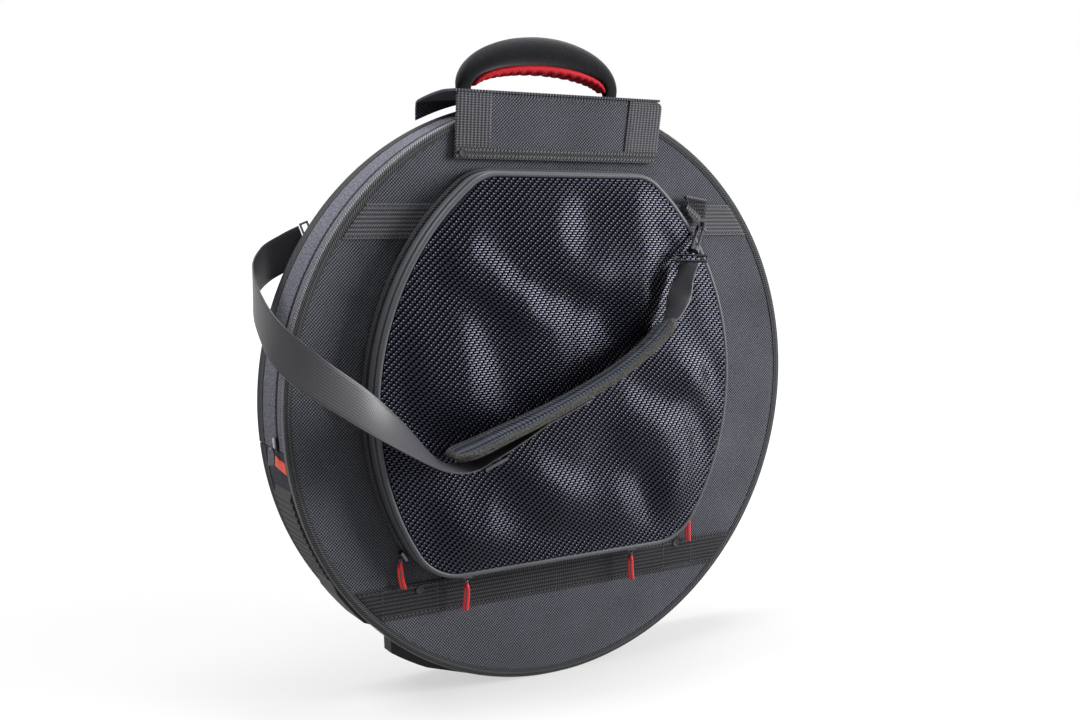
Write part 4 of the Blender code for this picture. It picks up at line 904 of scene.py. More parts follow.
    def build_divider(self) -> None:
        """Make the padded disc that stands inside between two cymbals."""
        low, high = own_box("padded_divider")
        thick = high.y - low.y
        middle = (0.0, low.y + thick / 2.0, (low.z + high.z) / 2.0)
        piece = upright_cylinder("divider_pad", (high.x - low.x) / 2.0, thick, middle, 96)
        with editing(piece):
            bpy.ops.mesh.bevel(offset=thick * 0.35, segments=3)
        lay_flat_uv(piece)
        deliver(piece, PADDING, Body.FRONT, ["padded_divider"])


# ---------------------------------------------------------------- bands, tabs and rubber


RIVET_RADIUS = 0.0046
RIVET_THICK = 0.0016
RIVET_STAND = 0.0006
# The ring pressed round its middle, as (width, depth) of each step inwards.
RIVET_RINGS = ((0.0014, 0.0), (0.0006, -0.0004))


def rivet(name: str, place: Point, body: Body) -> None:
    """Press a domed rivet into the cloth at this place."""
    x, y, z = place
    piece = upright_cylinder(name, RIVET_RADIUS, RIVET_THICK, (x, y - RIVET_STAND, z), 28)
    front = min(vert.co.y for vert in piece.data.vertices)
    with editing(piece):
        bpy.ops.mesh.select_all(action="DESELECT")
    for face in piece.data.polygons:
        face.select = face.normal.y < -0.9 and abs(face.center.y - front) < 1e-5
    bpy.ops.object.mode_set(mode="EDIT")
    bpy.ops.mesh.select_mode(type="FACE")
    for width, depth in RIVET_RINGS:
        bpy.ops.mesh.inset(thickness=width, depth=depth)
    bpy.ops.object.mode_set(mode="OBJECT")
    shape(piece, "BEVEL", width=0.0003, segments=2)
    deliver(piece, RUBBER, body)


@dataclass
class Trim:
    """Webbing bands on the face, orange end tabs, rivets, and the rubber that stays as CAD."""

    reach: float = 0.3152
    width: float = 0.0360
    seat: float = -0.0003
    sheet: float = 0.0012
    upper: float = 0.1933
    lower: float = -0.2087
    edge_seam: float = 0.0030
    box_seam: float = 0.0035
    boxes: tuple[tuple[str, float, float], ...] = (("left", -0.2200, -0.1560), ("right", 0.1480, 0.1900))
    rivets: tuple[Pair, ...] = ((-0.1770, -0.1980), (0.1665, -0.1944))
    # End tabs: how far their middle hangs below the node's, their rise across the gusset, and their height.
    tab_drop: float = 0.0024
    tab_slant: float = 0.0066
    tab_tall: float = 0.0118
    tab_radius: float = 0.3239

    def band(self, name: str, middle: float, finish: Finish, node: str) -> None:
        """Make one band, cut to the binding at both ends.

        Args:
            name: name of the piece.
            middle: height of its middle line.
            finish: its webbing.
            node: CAD node that it stands for.
        """

        def place(s: float, t: float) -> Vector:
            """Return the band's back at these shares."""
            z = middle + (t - 0.5) * self.width
            return Vector(((2.0 * s - 1.0) * math.sqrt(self.reach**2 - z**2), self.seat, z))

        length = 2.0 * math.sqrt(self.reach**2 - middle**2)
        piece = bent_grid(name, 60, 8, place, (length, self.width))
        thicken(piece, self.sheet, 1.0, bevel=0.0004)
        deliver(piece, finish, Body.FRONT, [node])

    def sew(self, name: str, corners: Section) -> None:
        """Sew a seam on a band through these (x, z) corners."""
        path = [Vector((x, self.seat - self.sheet - 0.0002, z)) for x, z in corners]
        deliver(stitches(name, path, FORWARD), THREAD, Body.FRONT)

    def end_tab(self, side: int, word: str) -> None:
        """Fold the orange ribbon over the end of the main zip."""
        low, high = own_box("zip_end_tab_" + word)
        middle = (low.z + high.z) / 2.0 - self.tab_drop

        def place(s: float, t: float) -> Vector:
            """Return the ribbon's back at these shares: s across the gusset, t down it."""
            z = middle + self.tab_slant * (s - 0.5) + self.tab_tall * (t - 0.5)
            radius = self.tab_radius + 0.0004 * math.sin(s * math.pi)
            return Vector((side * math.sqrt(radius**2 - z**2), low.y + (high.y - low.y) * s, z))

        piece = bent_grid("end_tab_" + word, 20, 8, place, (high.y - low.y, self.tab_tall))
        thicken(piece, 0.0009, float(side))
        deliver(piece, ORANGE_RIBBON, Body.FRONT, ["zip_end_tab_" + word])

    def build(self) -> None:
        """Make and dress the trim."""
        self.band("band_upper", self.upper, BAND_WEBBING, "upper_band")
        # The lower band takes the webbing's darker copy, painted shade.
        self.band("band_lower", self.lower, WEBBING_PAINTED_SHADE, "lower_band")
        for word, middle in (("upper", self.upper), ("lower", self.lower)):
            for edge, side in ((-1.0, "bottom"), (1.0, "top")):
                z = middle + edge * (self.width / 2.0 - self.edge_seam)
                half = math.sqrt((self.reach - 0.002) ** 2 - z**2)
                self.sew(f"{word}_band_seam_{side}", ((-half, z), (half, z)))
        low, high = (self.lower + edge * (self.width / 2.0 - self.box_seam) for edge in (-1.0, 1.0))
        for word, left, right in self.boxes:
            corners = ((left, low), (right, low), (right, high), (left, high), (left, low))
            self.sew(f"lower_band_box_{word}", corners)
        for number, (x, z) in enumerate(self.rivets):
            rivet(f"band_rivet_{number + 1}", (x, self.seat - self.sheet, z), Body.FRONT)
        for side, word in ((-1, "left"), (1, "right")):
            self.end_tab(side, word)
        for name in ("skid_left", "skid_right", "foot_left", "foot_right"):
            repaint(name, RUBBER)


# ---------------------------------------------------------------- pocket


def arc(centre: Pair, radius: float, start: float, end: float, steps: int) -> list[Pair]:
    """Return points along an arc between two angles in degrees."""
    angles = [math.radians(start + (end - start) * i / steps) for i in range(steps + 1)]
    return [(centre[0] + radius * math.cos(a), centre[1] + radius * math.sin(a)) for a in angles]


@dataclass
class Pocket:
    """Twin pocket: braided base, two zips, a smooth band, piping and the embossed front."""

    middle: float = -0.0110
    top: float = 0.2460
    bottom: float = -0.1840
    arc: float = 0.2960
    arc_offset: float = 0.0670
    arc_z: float = 0.0050
    top_fillet: float = 0.0500
    bottom_fillet: float = 0.0650
    cloth: float = 0.0018
    front: float = -0.0312
    # The sections that run round the outline, as (inset, depth).
    tray: Section = (
        (-0.0010, -0.0020), (-0.0030, -0.0026), (-0.0032, -0.0048), (-0.0024, -0.0070),
        (-0.0004, -0.0075), (0.0020, -0.0072), (0.0020, -0.0040), (0.0020, -0.0020),
    )  # fmt: skip
    band: Section = (
        (0.0030, -0.0218), (0.0006, -0.0218), (0.0, -0.0211), (-0.0004, -0.0160), (0.0, -0.0113),
        (0.0006, -0.0106), (0.0030, -0.0106),
    )  # fmt: skip
    zip: Section = ((0.0040, 0.0), (0.0016, 0.0), (0.0010, 0.0011), (0.0016, 0.0022), (0.0040, 0.0022))
    bead: Pair = (0.0035, -0.0281)
    bead_radius: float = 0.0032
    # The embossed front: how far it is puffed and may sink, its folds as (depth, waves along X, waves along Z)
    # and its dents as (depth, size, seed).
    puff: float = 0.0044
    sunk: float = 0.0018
    folds: Point = (0.0032, 44.0, 46.0)
    dents: tuple[Point, ...] = ((0.0052, 0.085, 9.4), (0.0014, 0.035, 5.5))
    # The strap pad presses it along a line: height at the middle, slope, half width and strength.
    pad_line: tuple[float, float, float, float] = (0.010, 0.42, 0.045, 0.80)

    def corner(self, fillet: float, line: float) -> tuple[Pair, float, float]:
        """Return a corner's centre, the angle where it meets the side, and where it meets the line."""
        toward = 1.0 if line > self.arc_z else -1.0
        z = line - toward * fillet
        x = math.sqrt((self.arc - fillet) ** 2 - (z - self.arc_z) ** 2) - self.arc_offset
        return (x, z), math.degrees(math.atan2(z - self.arc_z, x + self.arc_offset)), toward * 90.0

    def outline(self, inset: float) -> list[Pair]:
        """Return the closed outline this far inside the outer edge.

        Args:
            inset: distance inwards, in metres.

        Returns:
            (x, z) points, anticlockwise from the middle of the bottom.
        """
        low_centre, low_lean, low_end = self.corner(self.bottom_fillet, self.bottom)
        top_centre, top_lean, top_end = self.corner(self.top_fillet, self.top)
        low = arc(low_centre, self.bottom_fillet - inset, low_end, low_lean, 10)
        side = arc((-self.arc_offset, self.arc_z), self.arc - inset, low_lean, top_lean, 30)
        high = arc(top_centre, self.top_fillet - inset, top_lean, top_end, 10)
        right = low + side[1:-1] + high
        (floor_x, floor_z), (roof_x, roof_z) = right[0], right[-1]
        floor = [(floor_x * share / 8.0, floor_z) for share in range(8)]
        roof = [(roof_x * share / 8.0, roof_z) for share in range(7, -1, -1)]
        half = floor + right + roof
        left = [(-x, z) for x, z in reversed(half[1:-1])]
        return [(x + self.middle, z) for x, z in half + left]

    def loop(self, name: str, profile: Section) -> Thing:
        """Sweep a closed (inset, depth) profile round the outline."""
        return lofted(name, [[Vector((x, y, z)) for x, z in self.outline(inset)] for inset, y in profile])

    def sheet(self, name: str, inset: float, depth: Callable[[float, float, float], float], rings: int) -> Thing:
        """Fill the outline with rings that shrink to its middle, and give the cloth its thickness.

        Args:
            name: name of the piece.
            inset: distance of the sheet's edge inside the outline.
            depth: gives the depth for x, z and the share from the middle to the edge.
            rings: number of rings.

        Returns:
            The sheet, with UVs in metres.
        """
        centre_z = (self.top + self.bottom) / 2.0
        rows = []
        for ring in range(rings + 1):
            share = 1.0 - ring / rings
            rows.append([])
            for edge_x, edge_z in self.outline(inset):
                x = self.middle + (edge_x - self.middle) * share
                z = centre_z + (edge_z - centre_z) * share
                rows[-1].append(Vector((x, depth(x, z, share), z)))
        piece = lofted(name, rows, closed=False)
        lay_flat_uv(piece)
        face_forward(piece)
        shape(piece, "SOLIDIFY", thickness=self.cloth, offset=-1.0)
        return piece

    def front_depth(self, x: float, z: float, share: float) -> float:
        """Return the depth of the embossed front: puffed, dented, and pressed under the strap pad."""
        held = 1.0 - ease(share, 0.80, 1.0)
        puff = self.puff * (1.0 - share**4)
        depth, waves_x, waves_z = self.folds
        folds = math.sin(x * waves_x + z * waves_z + 3.0 * wrinkle(x, z, 0.12, 2.2)) * depth
        dents = sum(depth * wrinkle(x, z, size, seed) for depth, size, seed in self.dents)
        height, slope, half, strength = self.pad_line
        pressed = math.exp(-(((z - (height + x * slope)) / half) ** 2))
        rise = (puff + folds + dents) * held
        return self.front - max(-self.sunk, rise * (1.0 - strength * pressed))

    def build(self) -> None:
        """Make and dress the pocket."""
        deliver(self.loop("pocket_base_edge", self.tray), BINDING_BRAID, Body.FRONT, ["pocket_base"], 60.0)
        deliver(self.sheet("pocket_base_cloth", 0.0022, lambda *_: -0.0038, 8), PADDING, Body.FRONT)
        for name, near, body, node in (
            ("pocket_zip_rear", -0.0103, Body.POCKET_MIDDLE, "pocket_rear_zip"),
            ("pocket_zip_front", -0.0246, Body.POCKET_FRONT, "pocket_front_zip"),
        ):
            coil = [(inset, near + depth) for inset, depth in self.zip]
            deliver(self.loop(name, coil), ZIP_COIL, body, [node], 20.0)
        band = self.loop("pocket_band_smooth", self.band)
        deliver(band, GREY_VINYL, Body.POCKET_MIDDLE, ["pocket_band"], 60.0)
        wall = self.sheet("pocket_divider_cloth", 0.0034, lambda *_: -0.0212, 10)
        deliver(wall, PADDING, Body.POCKET_MIDDLE, ["pocket_divider"])
        (inset, depth), radius = self.bead, self.bead_radius
        bead = [(inset - radius * math.cos(a), depth - radius * math.sin(a)) for a in turns(12)]
        deliver(self.loop("pocket_piping_cord", bead), GREY_VINYL, Body.POCKET_FRONT, ["pocket_piping"], 80.0)
        front = self.sheet("pocket_front_embossed", 0.0064, self.front_depth, 60)
        deliver(front, CARBON_VINYL, Body.POCKET_FRONT, ["pocket_front_panel"])


# ---------------------------------------------------------------- saddle, flap and handle


@dataclass
class Saddle:
    """Panel over the rim with its front flap, end strips and double-stitched hem."""

    corner: float = 0.0075
    left: float = -0.1370
    right: float = 0.1310
    front: float = -0.0062
    rear: float = 0.0840
    under: float = 0.3268
    rise: float = 0.0016
    droop: float = 0.0090
    cloth: float = 0.0026
    rim: float = 0.3250
    lip: float = 0.0060
    lip_length: float = 0.0120
    lip_start: float = 0.84
    flap_top: float = 0.3265
    flap_bottom: float = 0.2580
    flap_back: float = -0.0018
    strip_back: float = -0.0043
    hem: float = 0.0120
    top_edges: Pair = (-0.1340, 0.1290)
    bottom_edges: Pair = (-0.1365, 0.1210)
    strips: Pair = (0.0410, 0.0450)
    rivet: Point = (-0.1284, -0.0064, 0.2639)

    def height(self, x: float, share: float) -> float:
        """Return the height of the underside; share runs from the front edge to the rear."""
        out = (x - (self.left + self.right) / 2.0) / ((self.right - self.left) / 2.0)
        return self.under + self.rise * min(1.0, 3.0 * share) - self.droop * (out * share) ** 2

    def build_top(self) -> None:
        """Lay the panel over the rim, with its lip at the back."""

        def place(s: float, t: float) -> Vector:
            """Return the underside at these shares: s from left to right, t from front to back."""
            share = min(1.0, t / self.lip_start)
            rounded = self.corner * 0.75 * s**12 * (1.0 - ease(share, 0.0, 0.2))
            x = self.left + (self.right - self.left) * s - rounded
            y = self.front + (self.rear - self.front) * share
            z = self.height(x, share)
            if t > self.lip_start:
                down = (t - self.lip_start) / (1.0 - self.lip_start)
                low = min(z, math.sqrt(self.rim**2 - x**2) + self.lip)
                y += 0.0012 * ease(down, 0.0, 0.4)
                z += (low - z) * down
            inside = ease(s, 0.0, 0.05) * ease(1.0 - s, 0.0, 0.05) * ease(share, 0.0, 0.2)
            return Vector((x, y, z + 0.0005 * inside * wrinkle(x, y, 0.04, 3.3)))

        size = (self.right - self.left, self.rear - self.front + self.lip_length)
        piece = bent_grid("saddle_cloth", 64, 26, place, size)
        thicken(piece, self.cloth, 1.0, bevel=0.0008, segments=3)
        deliver(piece, FACE_NYLON, Body.FRONT, ["saddle"])

    def edges(self, z: float) -> Pair:
        """Return the flap's two side edges at a height."""
        share = (z - self.flap_bottom) / (self.flap_top - self.flap_bottom)
        return tuple(low + (high - low) * share for low, high in zip(self.bottom_edges, self.top_edges))

    def flap_sheet(self, name: str, across: Pair, span: Pair, back: float, thick: float) -> Thing:
        """Cut a sheet that follows the flap's sides.

        Args:
            name: name of the piece.
            across: start and end: a positive value is measured from the left edge, a negative from the right.
            span: lower and upper height.
            back: depth of its back.
            thick: its thickness, towards the front.

        Returns:
            The sheet.
        """

        def place(s: float, t: float) -> Vector:
            """Return the sheet's back at these shares."""
            z = span[0] + (span[1] - span[0]) * t
            left, right = self.edges(z)
            start = left + across[0] if across[0] >= 0.0 else right + across[0]
            end = left + across[1] if across[1] > 0.0 else right + across[1]
            if across[1] == 0.0 and z > self.flap_top - self.corner:
                end -= self.corner - math.sqrt(max(0.0, self.corner**2 - (z - self.flap_top + self.corner) ** 2))
            x = start + (end - start) * s
            wavy = 0.0004 * wrinkle(x, z, 0.05, 6.1) * (1.0 - ease(z, 0.300, 0.325))
            return Vector((x, back - wavy - 0.0004, z))

        wide = abs(place(1.0, 0.5).x - place(0.0, 0.5).x)
        piece = bent_grid(name, max(8, round(wide / 0.006)), 28, place, (wide, span[1] - span[0]))
        thicken(piece, thick, 1.0, bevel=thick * 0.25)
        return piece

    def sew(self, name: str, ends: tuple[Pair, Pair], depth: float, heavy: bool = False) -> None:
        """Sew a straight seam on the flap between two (x, z) ends, with the hem's thread if heavy."""
        path = [Vector((x, depth, z)) for x, z in ends]
        row = stitches(f"flap_{name}", path, FORWARD, HEM_STITCH if heavy else Stitch())
        deliver(row, HEM_THREAD if heavy else THREAD, Body.FLAP)

    def build_flap(self) -> None:
        """Hang the flap with its strips, hem and seams."""
        low, high, full = self.flap_bottom, self.flap_top, (0.0, 0.0)
        cloth = self.flap_sheet("flap_cloth", full, (low, high), self.flap_back, self.cloth - 0.0004)
        deliver(cloth, FACE_NYLON, Body.FLAP, ["flap_panel"])
        wide = self.edges(low)[1] - self.edges(low)[0]
        seam = low + self.hem
        for word, across in (("left", (0.0, self.strips[0])), ("right", (-self.strips[1], 0.0))):
            strip = self.flap_sheet(f"flap_webbing_{word}", across, (seam + 0.0003, high), self.strip_back, 0.0012)
            for corner in strip.data.uv_layers.active.data:
                corner.uv = (corner.uv[1], corner.uv[0])
            deliver(strip, BAND_WEBBING, Body.FLAP, [f"flap_strip_{word}"])
        hem = self.flap_sheet("flap_hem", full, (low, seam), self.strip_back, 0.0015)
        deliver(hem, BINDING_BRAID, Body.FLAP, ["flap_binding"])
        for word, z in (("lower", low + 0.0028), ("upper", seam - 0.0028)):
            left, right = self.edges(z)
            self.sew(f"hem_seam_{word}", ((left + 0.002, z), (right - 0.002, z)), -0.0066, heavy=True)
        top = high - 0.0040
        left, right = self.edges(top)
        left, right = left + self.strips[0], right - self.strips[1]
        self.sew("top_seam", ((left + 0.002, top), (right - 0.002, top)), -0.0046)
        for word, x in (("left", left - 0.0030), ("right", right + 0.0030)):
            self.sew(f"strip_seam_{word}", ((x, seam + 0.004), (x, high - 0.003)), -0.0058)

    def build(self) -> None:
        """Make and dress the saddle and its flap."""
        self.build_top()
        self.build_flap()
        rivet("flap_rivet", self.rivet, Body.FLAP)


@dataclass
class Handle:
    """Padded crescent in velour with a puckered red lining under its arch."""

    middle: float = -0.0080
    depth: float = 0.0400
    axis: float = 0.33561
    top: float = 0.3935
    half_span: float = 0.1040
    end_width: float = 0.0180
    crown: float = 0.0350
    end_radius: float = 0.0050
    half_grip: float = 0.0175
    half_lining: float = 0.0158
    lining_start: float = 7.0
    lining_share: float = 0.11
    steps: int = 56
    lining_steps: int = 128

    def spot(self, degrees: float, inwards: float) -> Vector:
        """Return a point between the outer (0) and inner (1) ellipse."""
        turn = math.radians(degrees)
        span = self.half_span - self.end_width * inwards
        rise = (self.top - self.axis) - self.crown * inwards
        return Vector((self.middle + span * math.cos(turn), self.depth, self.axis + rise * math.sin(turn)))

    def inward(self, degrees: float) -> Vector:
        """Return the direction from the handle's arch towards the hand."""
        turn = math.radians(degrees)
        span = self.half_span - self.end_width
        rise = self.top - self.axis - self.crown
        return Vector((-math.cos(turn) / span, 0.0, -math.sin(turn) / rise)).normalized()

    def cover_share(self, degrees: float) -> float:
        """Return where the velour ends and the lining begins: 1 at the feet, less along the arch."""
        return 1.0 - self.lining_share * ease(math.sin(math.radians(degrees)), 0.1, 0.6)

    def section(self, outer: Vector, inner: Vector, half: float, points: int = 24) -> list[Vector]:
        """Return a soft oval between an outer and an inner point, this wide to each side."""
        middle, reach = (outer + inner) / 2.0, (outer - inner) / 2.0
        return [middle + reach * up + Vector((0.0, wide * half, 0.0)) for up, wide in soft_oval(points, 0.8, 0.8)]

    def foot(self, end: float) -> list[list[Vector]]:
        """Return the round sections under one end of the arch, lowest first."""
        rows = []
        for degrees in (80.0, 55.0, 30.0):
            turn = math.radians(degrees)
            down = Vector((0.0, 0.0, -self.end_radius * math.sin(turn)))
            half = self.end_radius * math.cos(turn)
            rows.append(self.section(self.spot(end, 0.0) + down, self.spot(end, 1.0) + down, half))
        return rows

    def build(self) -> None:
        """Make and dress the handle."""
        rows = self.foot(180.0)
        for i in range(self.steps + 1):
            degrees = 180.0 - 180.0 * i / self.steps
            swell = math.sin(math.radians(degrees)) ** 0.7
            half = self.end_radius + (self.half_grip - self.end_radius) * swell
            rows.append(self.section(self.spot(degrees, 0.0), self.spot(degrees, self.cover_share(degrees)), half))
        cover = stuffed("handle_velour", rows + self.foot(0.0)[::-1])
        deliver(cover, VELOUR, Body.HANDLE, ["handle_cover"], 80.0)

        rows = []
        for i in range(self.lining_steps + 1):
            share = i / self.lining_steps
            degrees = 180.0 - self.lining_start - (180.0 - 2.0 * self.lining_start) * share
            swell = math.sin(math.radians(degrees))
            half = self.end_radius + (self.half_lining - self.end_radius) * swell**0.7
            pucker = 0.0009 * math.sin(share * 118.0 + 2.0 * wrinkle(share, 0.0, 0.11, 1.7)) * swell**0.5
            thick = 0.0022 + 0.0036 * swell**0.5 + pucker
            inward = self.inward(degrees)
            start = self.spot(degrees, self.cover_share(degrees)) - inward * 0.0006
            rows.append(self.section(start, self.spot(degrees, 1.0) + inward * thick, half, 20))
        lining = stuffed("handle_lining_cloth", rows)
        deliver(lining, RED_CLOTH, Body.HANDLE, ["handle_lining"], 80.0)


# ---------------------------------------------------------------- strap


def smooth_stations(stations: Sequence[Station], steps: int) -> list[tuple[Vector, float]]:
    """Pass a Catmull-Rom curve through (point, tilt) stations.

    Args:
        stations: points with the tilt of the strap's width in degrees.
        steps: points in each span.

    Returns:
        Points and tilts along the curve.
    """
    rows = [Vector((*place, tilt)) for place, tilt in stations]
    rows = [rows[0] * 2.0 - rows[1]] + rows + [rows[-1] * 2.0 - rows[-2]]
    found = []
    for i in range(1, len(rows) - 2):
        before, a, b, after = rows[i - 1 : i + 3]
        for k in range(steps):
            t = k / steps
            bend = (before * 2.0 - a * 5.0 + b * 4.0 - after) * t * t
            turn = (a * 3.0 - before - b * 3.0 + after) * t**3
            found.append((a * 2.0 + (b - before) * t + bend + turn) / 2.0)
    found.append(rows[-2])
    return [(Vector(row[:3]), row[3]) for row in found]


def strap_frames(stations: Sequence[tuple[Vector, float]]) -> list[tuple[Vector, Vector, Vector]]:
    """Return the point, the width direction and the upper direction at each station."""
    found = []
    for i, (spot, tilt) in enumerate(stations):
        ahead = stations[min(i + 1, len(stations) - 1)][0] - stations[max(i - 1, 0)][0]
        ahead.normalize()
        wide = Matrix.Rotation(math.radians(tilt), 3, ahead) @ UP.cross(ahead).normalized()
        found.append((spot, wide, ahead.cross(wide)))
    return found


@dataclass
class Strap:
    """Shoulder strap: webbing round the left rim, padded sleeve, and the neck up to the front hook."""

    width: float = 0.0380
    neck_width: float = 0.0340
    cloth: float = 0.0016
    cupping: float = 0.0003
    pad_width: float = 0.0520
    pad_thick: float = 0.0100
    pad_end: float = 0.0180
    rib: float = 0.0045
    edge_inset: float = 0.0022
    edge_radius: float = 0.0040
    # Where the webbing leaves the lid, and where it has come round to the front half.
    bend_start: Point = (-0.2635, 0.0880, 0.1500)
    bend_end: Point = (-0.2635, 0.0100, 0.1500)
    # Middle lines as ((x, y, z), tilt of the width in degrees).
    route: tuple[Station, ...] = (
        ((-0.2635, 0.0946, 0.1693), 90.0), ((-0.2850, 0.0918, 0.1600), 90.0),
        ((-0.3120, 0.0820, 0.1470), 90.0), ((-0.3330, 0.0560, 0.1310), 90.0),
        ((-0.3420, 0.0200, 0.1080), 90.0), ((-0.3370, -0.0180, 0.0780), 88.0),
        ((-0.3120, -0.0420, 0.0490), 84.0), ((-0.2700, -0.0520, 0.0180), 70.0),
        ((-0.2250, -0.0590, -0.0170), 42.0), ((-0.1850, -0.0620, -0.0480), 14.0),
        ((-0.1560, -0.0620, -0.0562), 1.0), ((-0.1290, -0.0605, -0.0475), 0.0),
        ((-0.0985, -0.0605, -0.0345), -2.0),
    )  # fmt: skip
    pad_route: tuple[Station, ...] = (
        ((-0.1660, -0.0605, -0.0430), 0.0), ((-0.1440, -0.0605, -0.0372), -1.5),
        ((-0.1190, -0.0605, -0.0290), -3.0), ((-0.0650, -0.0605, -0.0110), -6.0),
        ((-0.0140, -0.0605, 0.0085), -9.0), ((0.0370, -0.0605, 0.0320), -12.0),
        ((0.0790, -0.0600, 0.0583), -15.0), ((0.1040, -0.0590, 0.0810), -17.0),
    )  # fmt: skip
    neck_route: tuple[Station, ...] = (
        ((0.1044, -0.0590, 0.0814), -17.0), ((0.1077, -0.0589, 0.0849), -17.0),
        ((0.1165, -0.0572, 0.0990), -11.0), ((0.1255, -0.0545, 0.1220), -4.0),
        ((0.1357, -0.0546, 0.1474), 0.0),
    )  # fmt: skip

    def ribbon(self, name: str, stations: Sequence[tuple[Vector, float]], width: float) -> Thing:
        """Weave a flat strap along stations.

        Args:
            name: name of the piece.
            stations: points and tilts of its middle line.
            width: its width.

        Returns:
            The strap.
        """
        frames = strap_frames(stations)

        def place(s: float, t: float) -> Vector:
            """Return the strap's middle surface at these shares, a little cupped across."""
            spot, wide, up = frames[round(s * (len(frames) - 1))]
            across = 2.0 * t - 1.0
            return spot + wide * (across * width / 2.0) - up * (self.cupping * across * across)

        length = path_lengths([spot for spot, _, _ in frames])[-1]
        piece = bent_grid(name, len(frames) - 1, 8, place, (length, width))
        thicken(piece, self.cloth, 0.0, bevel=0.0005)
        return piece

    def build_pad(self) -> None:
        """Stuff the sleeve: a mesh body with round ends and a bound edge."""
        frames = strap_frames(smooth_stations(self.pad_route, 40))
        runs = path_lengths([spot for spot, _, _ in frames])
        rows, edges = [], ([], [])
        for (spot, wide, up), run in zip(frames, runs):
            end = min(1.0, min(run, runs[-1] - run) / self.pad_end)
            taper = math.sqrt(max(0.0, 1.0 - (1.0 - end) ** 2))
            half = max(0.004, (self.pad_width / 2.0 - 0.0012) * (0.45 + 0.55 * taper))
            thick = self.pad_thick / 2.0 * (0.55 + 0.45 * taper)
            thick *= 1.0 + 0.05 * math.sin(run * 2.0 * math.pi / self.rib)
            oval = soft_oval(28, 0.6, 0.8)
            rows.append([spot + wide * ((half - 0.0020) * side) + up * (thick * rise) for side, rise in oval])
            for edge, sign in zip(edges, (1.0, -1.0)):
                edge.append(spot + wide * (sign * (half - self.edge_inset)))
        body = stuffed("pad_air_mesh", rows)
        deliver(body, PAD_MESH, Body.FRONT, ["strap_pad"], 60.0)
        loop = edges[0] + edges[1][::-1]
        deliver(tube("pad_edge_binding", loop, self.edge_radius, closed=True), PAD_BINDING, Body.FRONT)

    def under_pad(self) -> list[tuple[Vector, float]]:
        """Return the stations where the webbing runs in under the pad."""
        route = smooth_stations(self.pad_route, 4)
        drop = self.pad_thick / 2.0 + self.cloth / 2.0 + 0.0006
        lowered = [(spot - up * drop, tilt) for (spot, _, up), (_, tilt) in zip(strap_frames(route), route)]
        return lowered[12:17]

    def build(self) -> None:
        """Make and dress the strap."""
        first, *others = self.under_pad()
        route = smooth_stations([*self.route, first], 8) + others
        webbing = self.ribbon("strap_webbing_long", route, self.width)
        deliver(webbing, STRAP_WEBBING, None, ["strap_webbing"])
        rear, round_rim = (ORIGIN + Vector(place) for place in (self.bend_start, self.bend_end))
        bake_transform(webbing)
        neck = self.ribbon("strap_webbing_neck", smooth_stations(self.neck_route, 8), self.neck_width)
        deliver(neck, STRAP_WEBBING, Body.FRONT, ["strap_neck"])
        self.build_pad()
        repaint("strap_adjuster", BLACK_NICKEL)


# ---------------------------------------------------------------- metal and pulls


@dataclass(frozen=True)
class TabPlan:
    """Where a webbing tab holds a ring's bar, and the outline of its sewn patch, beside the bar."""

    node: str
    body: Body
    bar: Point
    along: Point
    out: float
    seat: float
    patch: Section


TABS = (
    TabPlan(
        "strap_tab_front", Body.FRONT, (0.1737, -0.0062, 0.2001), (0.8107, 0.0, -0.5855), -1.0, -0.0019,
        ((-0.0150, 0.0036), (-0.0225, 0.0075), (0.0089, 0.0236), (0.0180, 0.0068), (0.0150, 0.0036)),
    ),
    TabPlan(
        "strap_tab_rear", Body.BACK, (-0.1840, 0.0850, 0.2010), (0.3697, 0.0, -0.9291), 1.0, 0.0791,
        ((-0.0128, 0.0038), (-0.0128, 0.0200), (0.0128, 0.0200), (0.0128, 0.0038)),
    ),
)  # fmt: skip


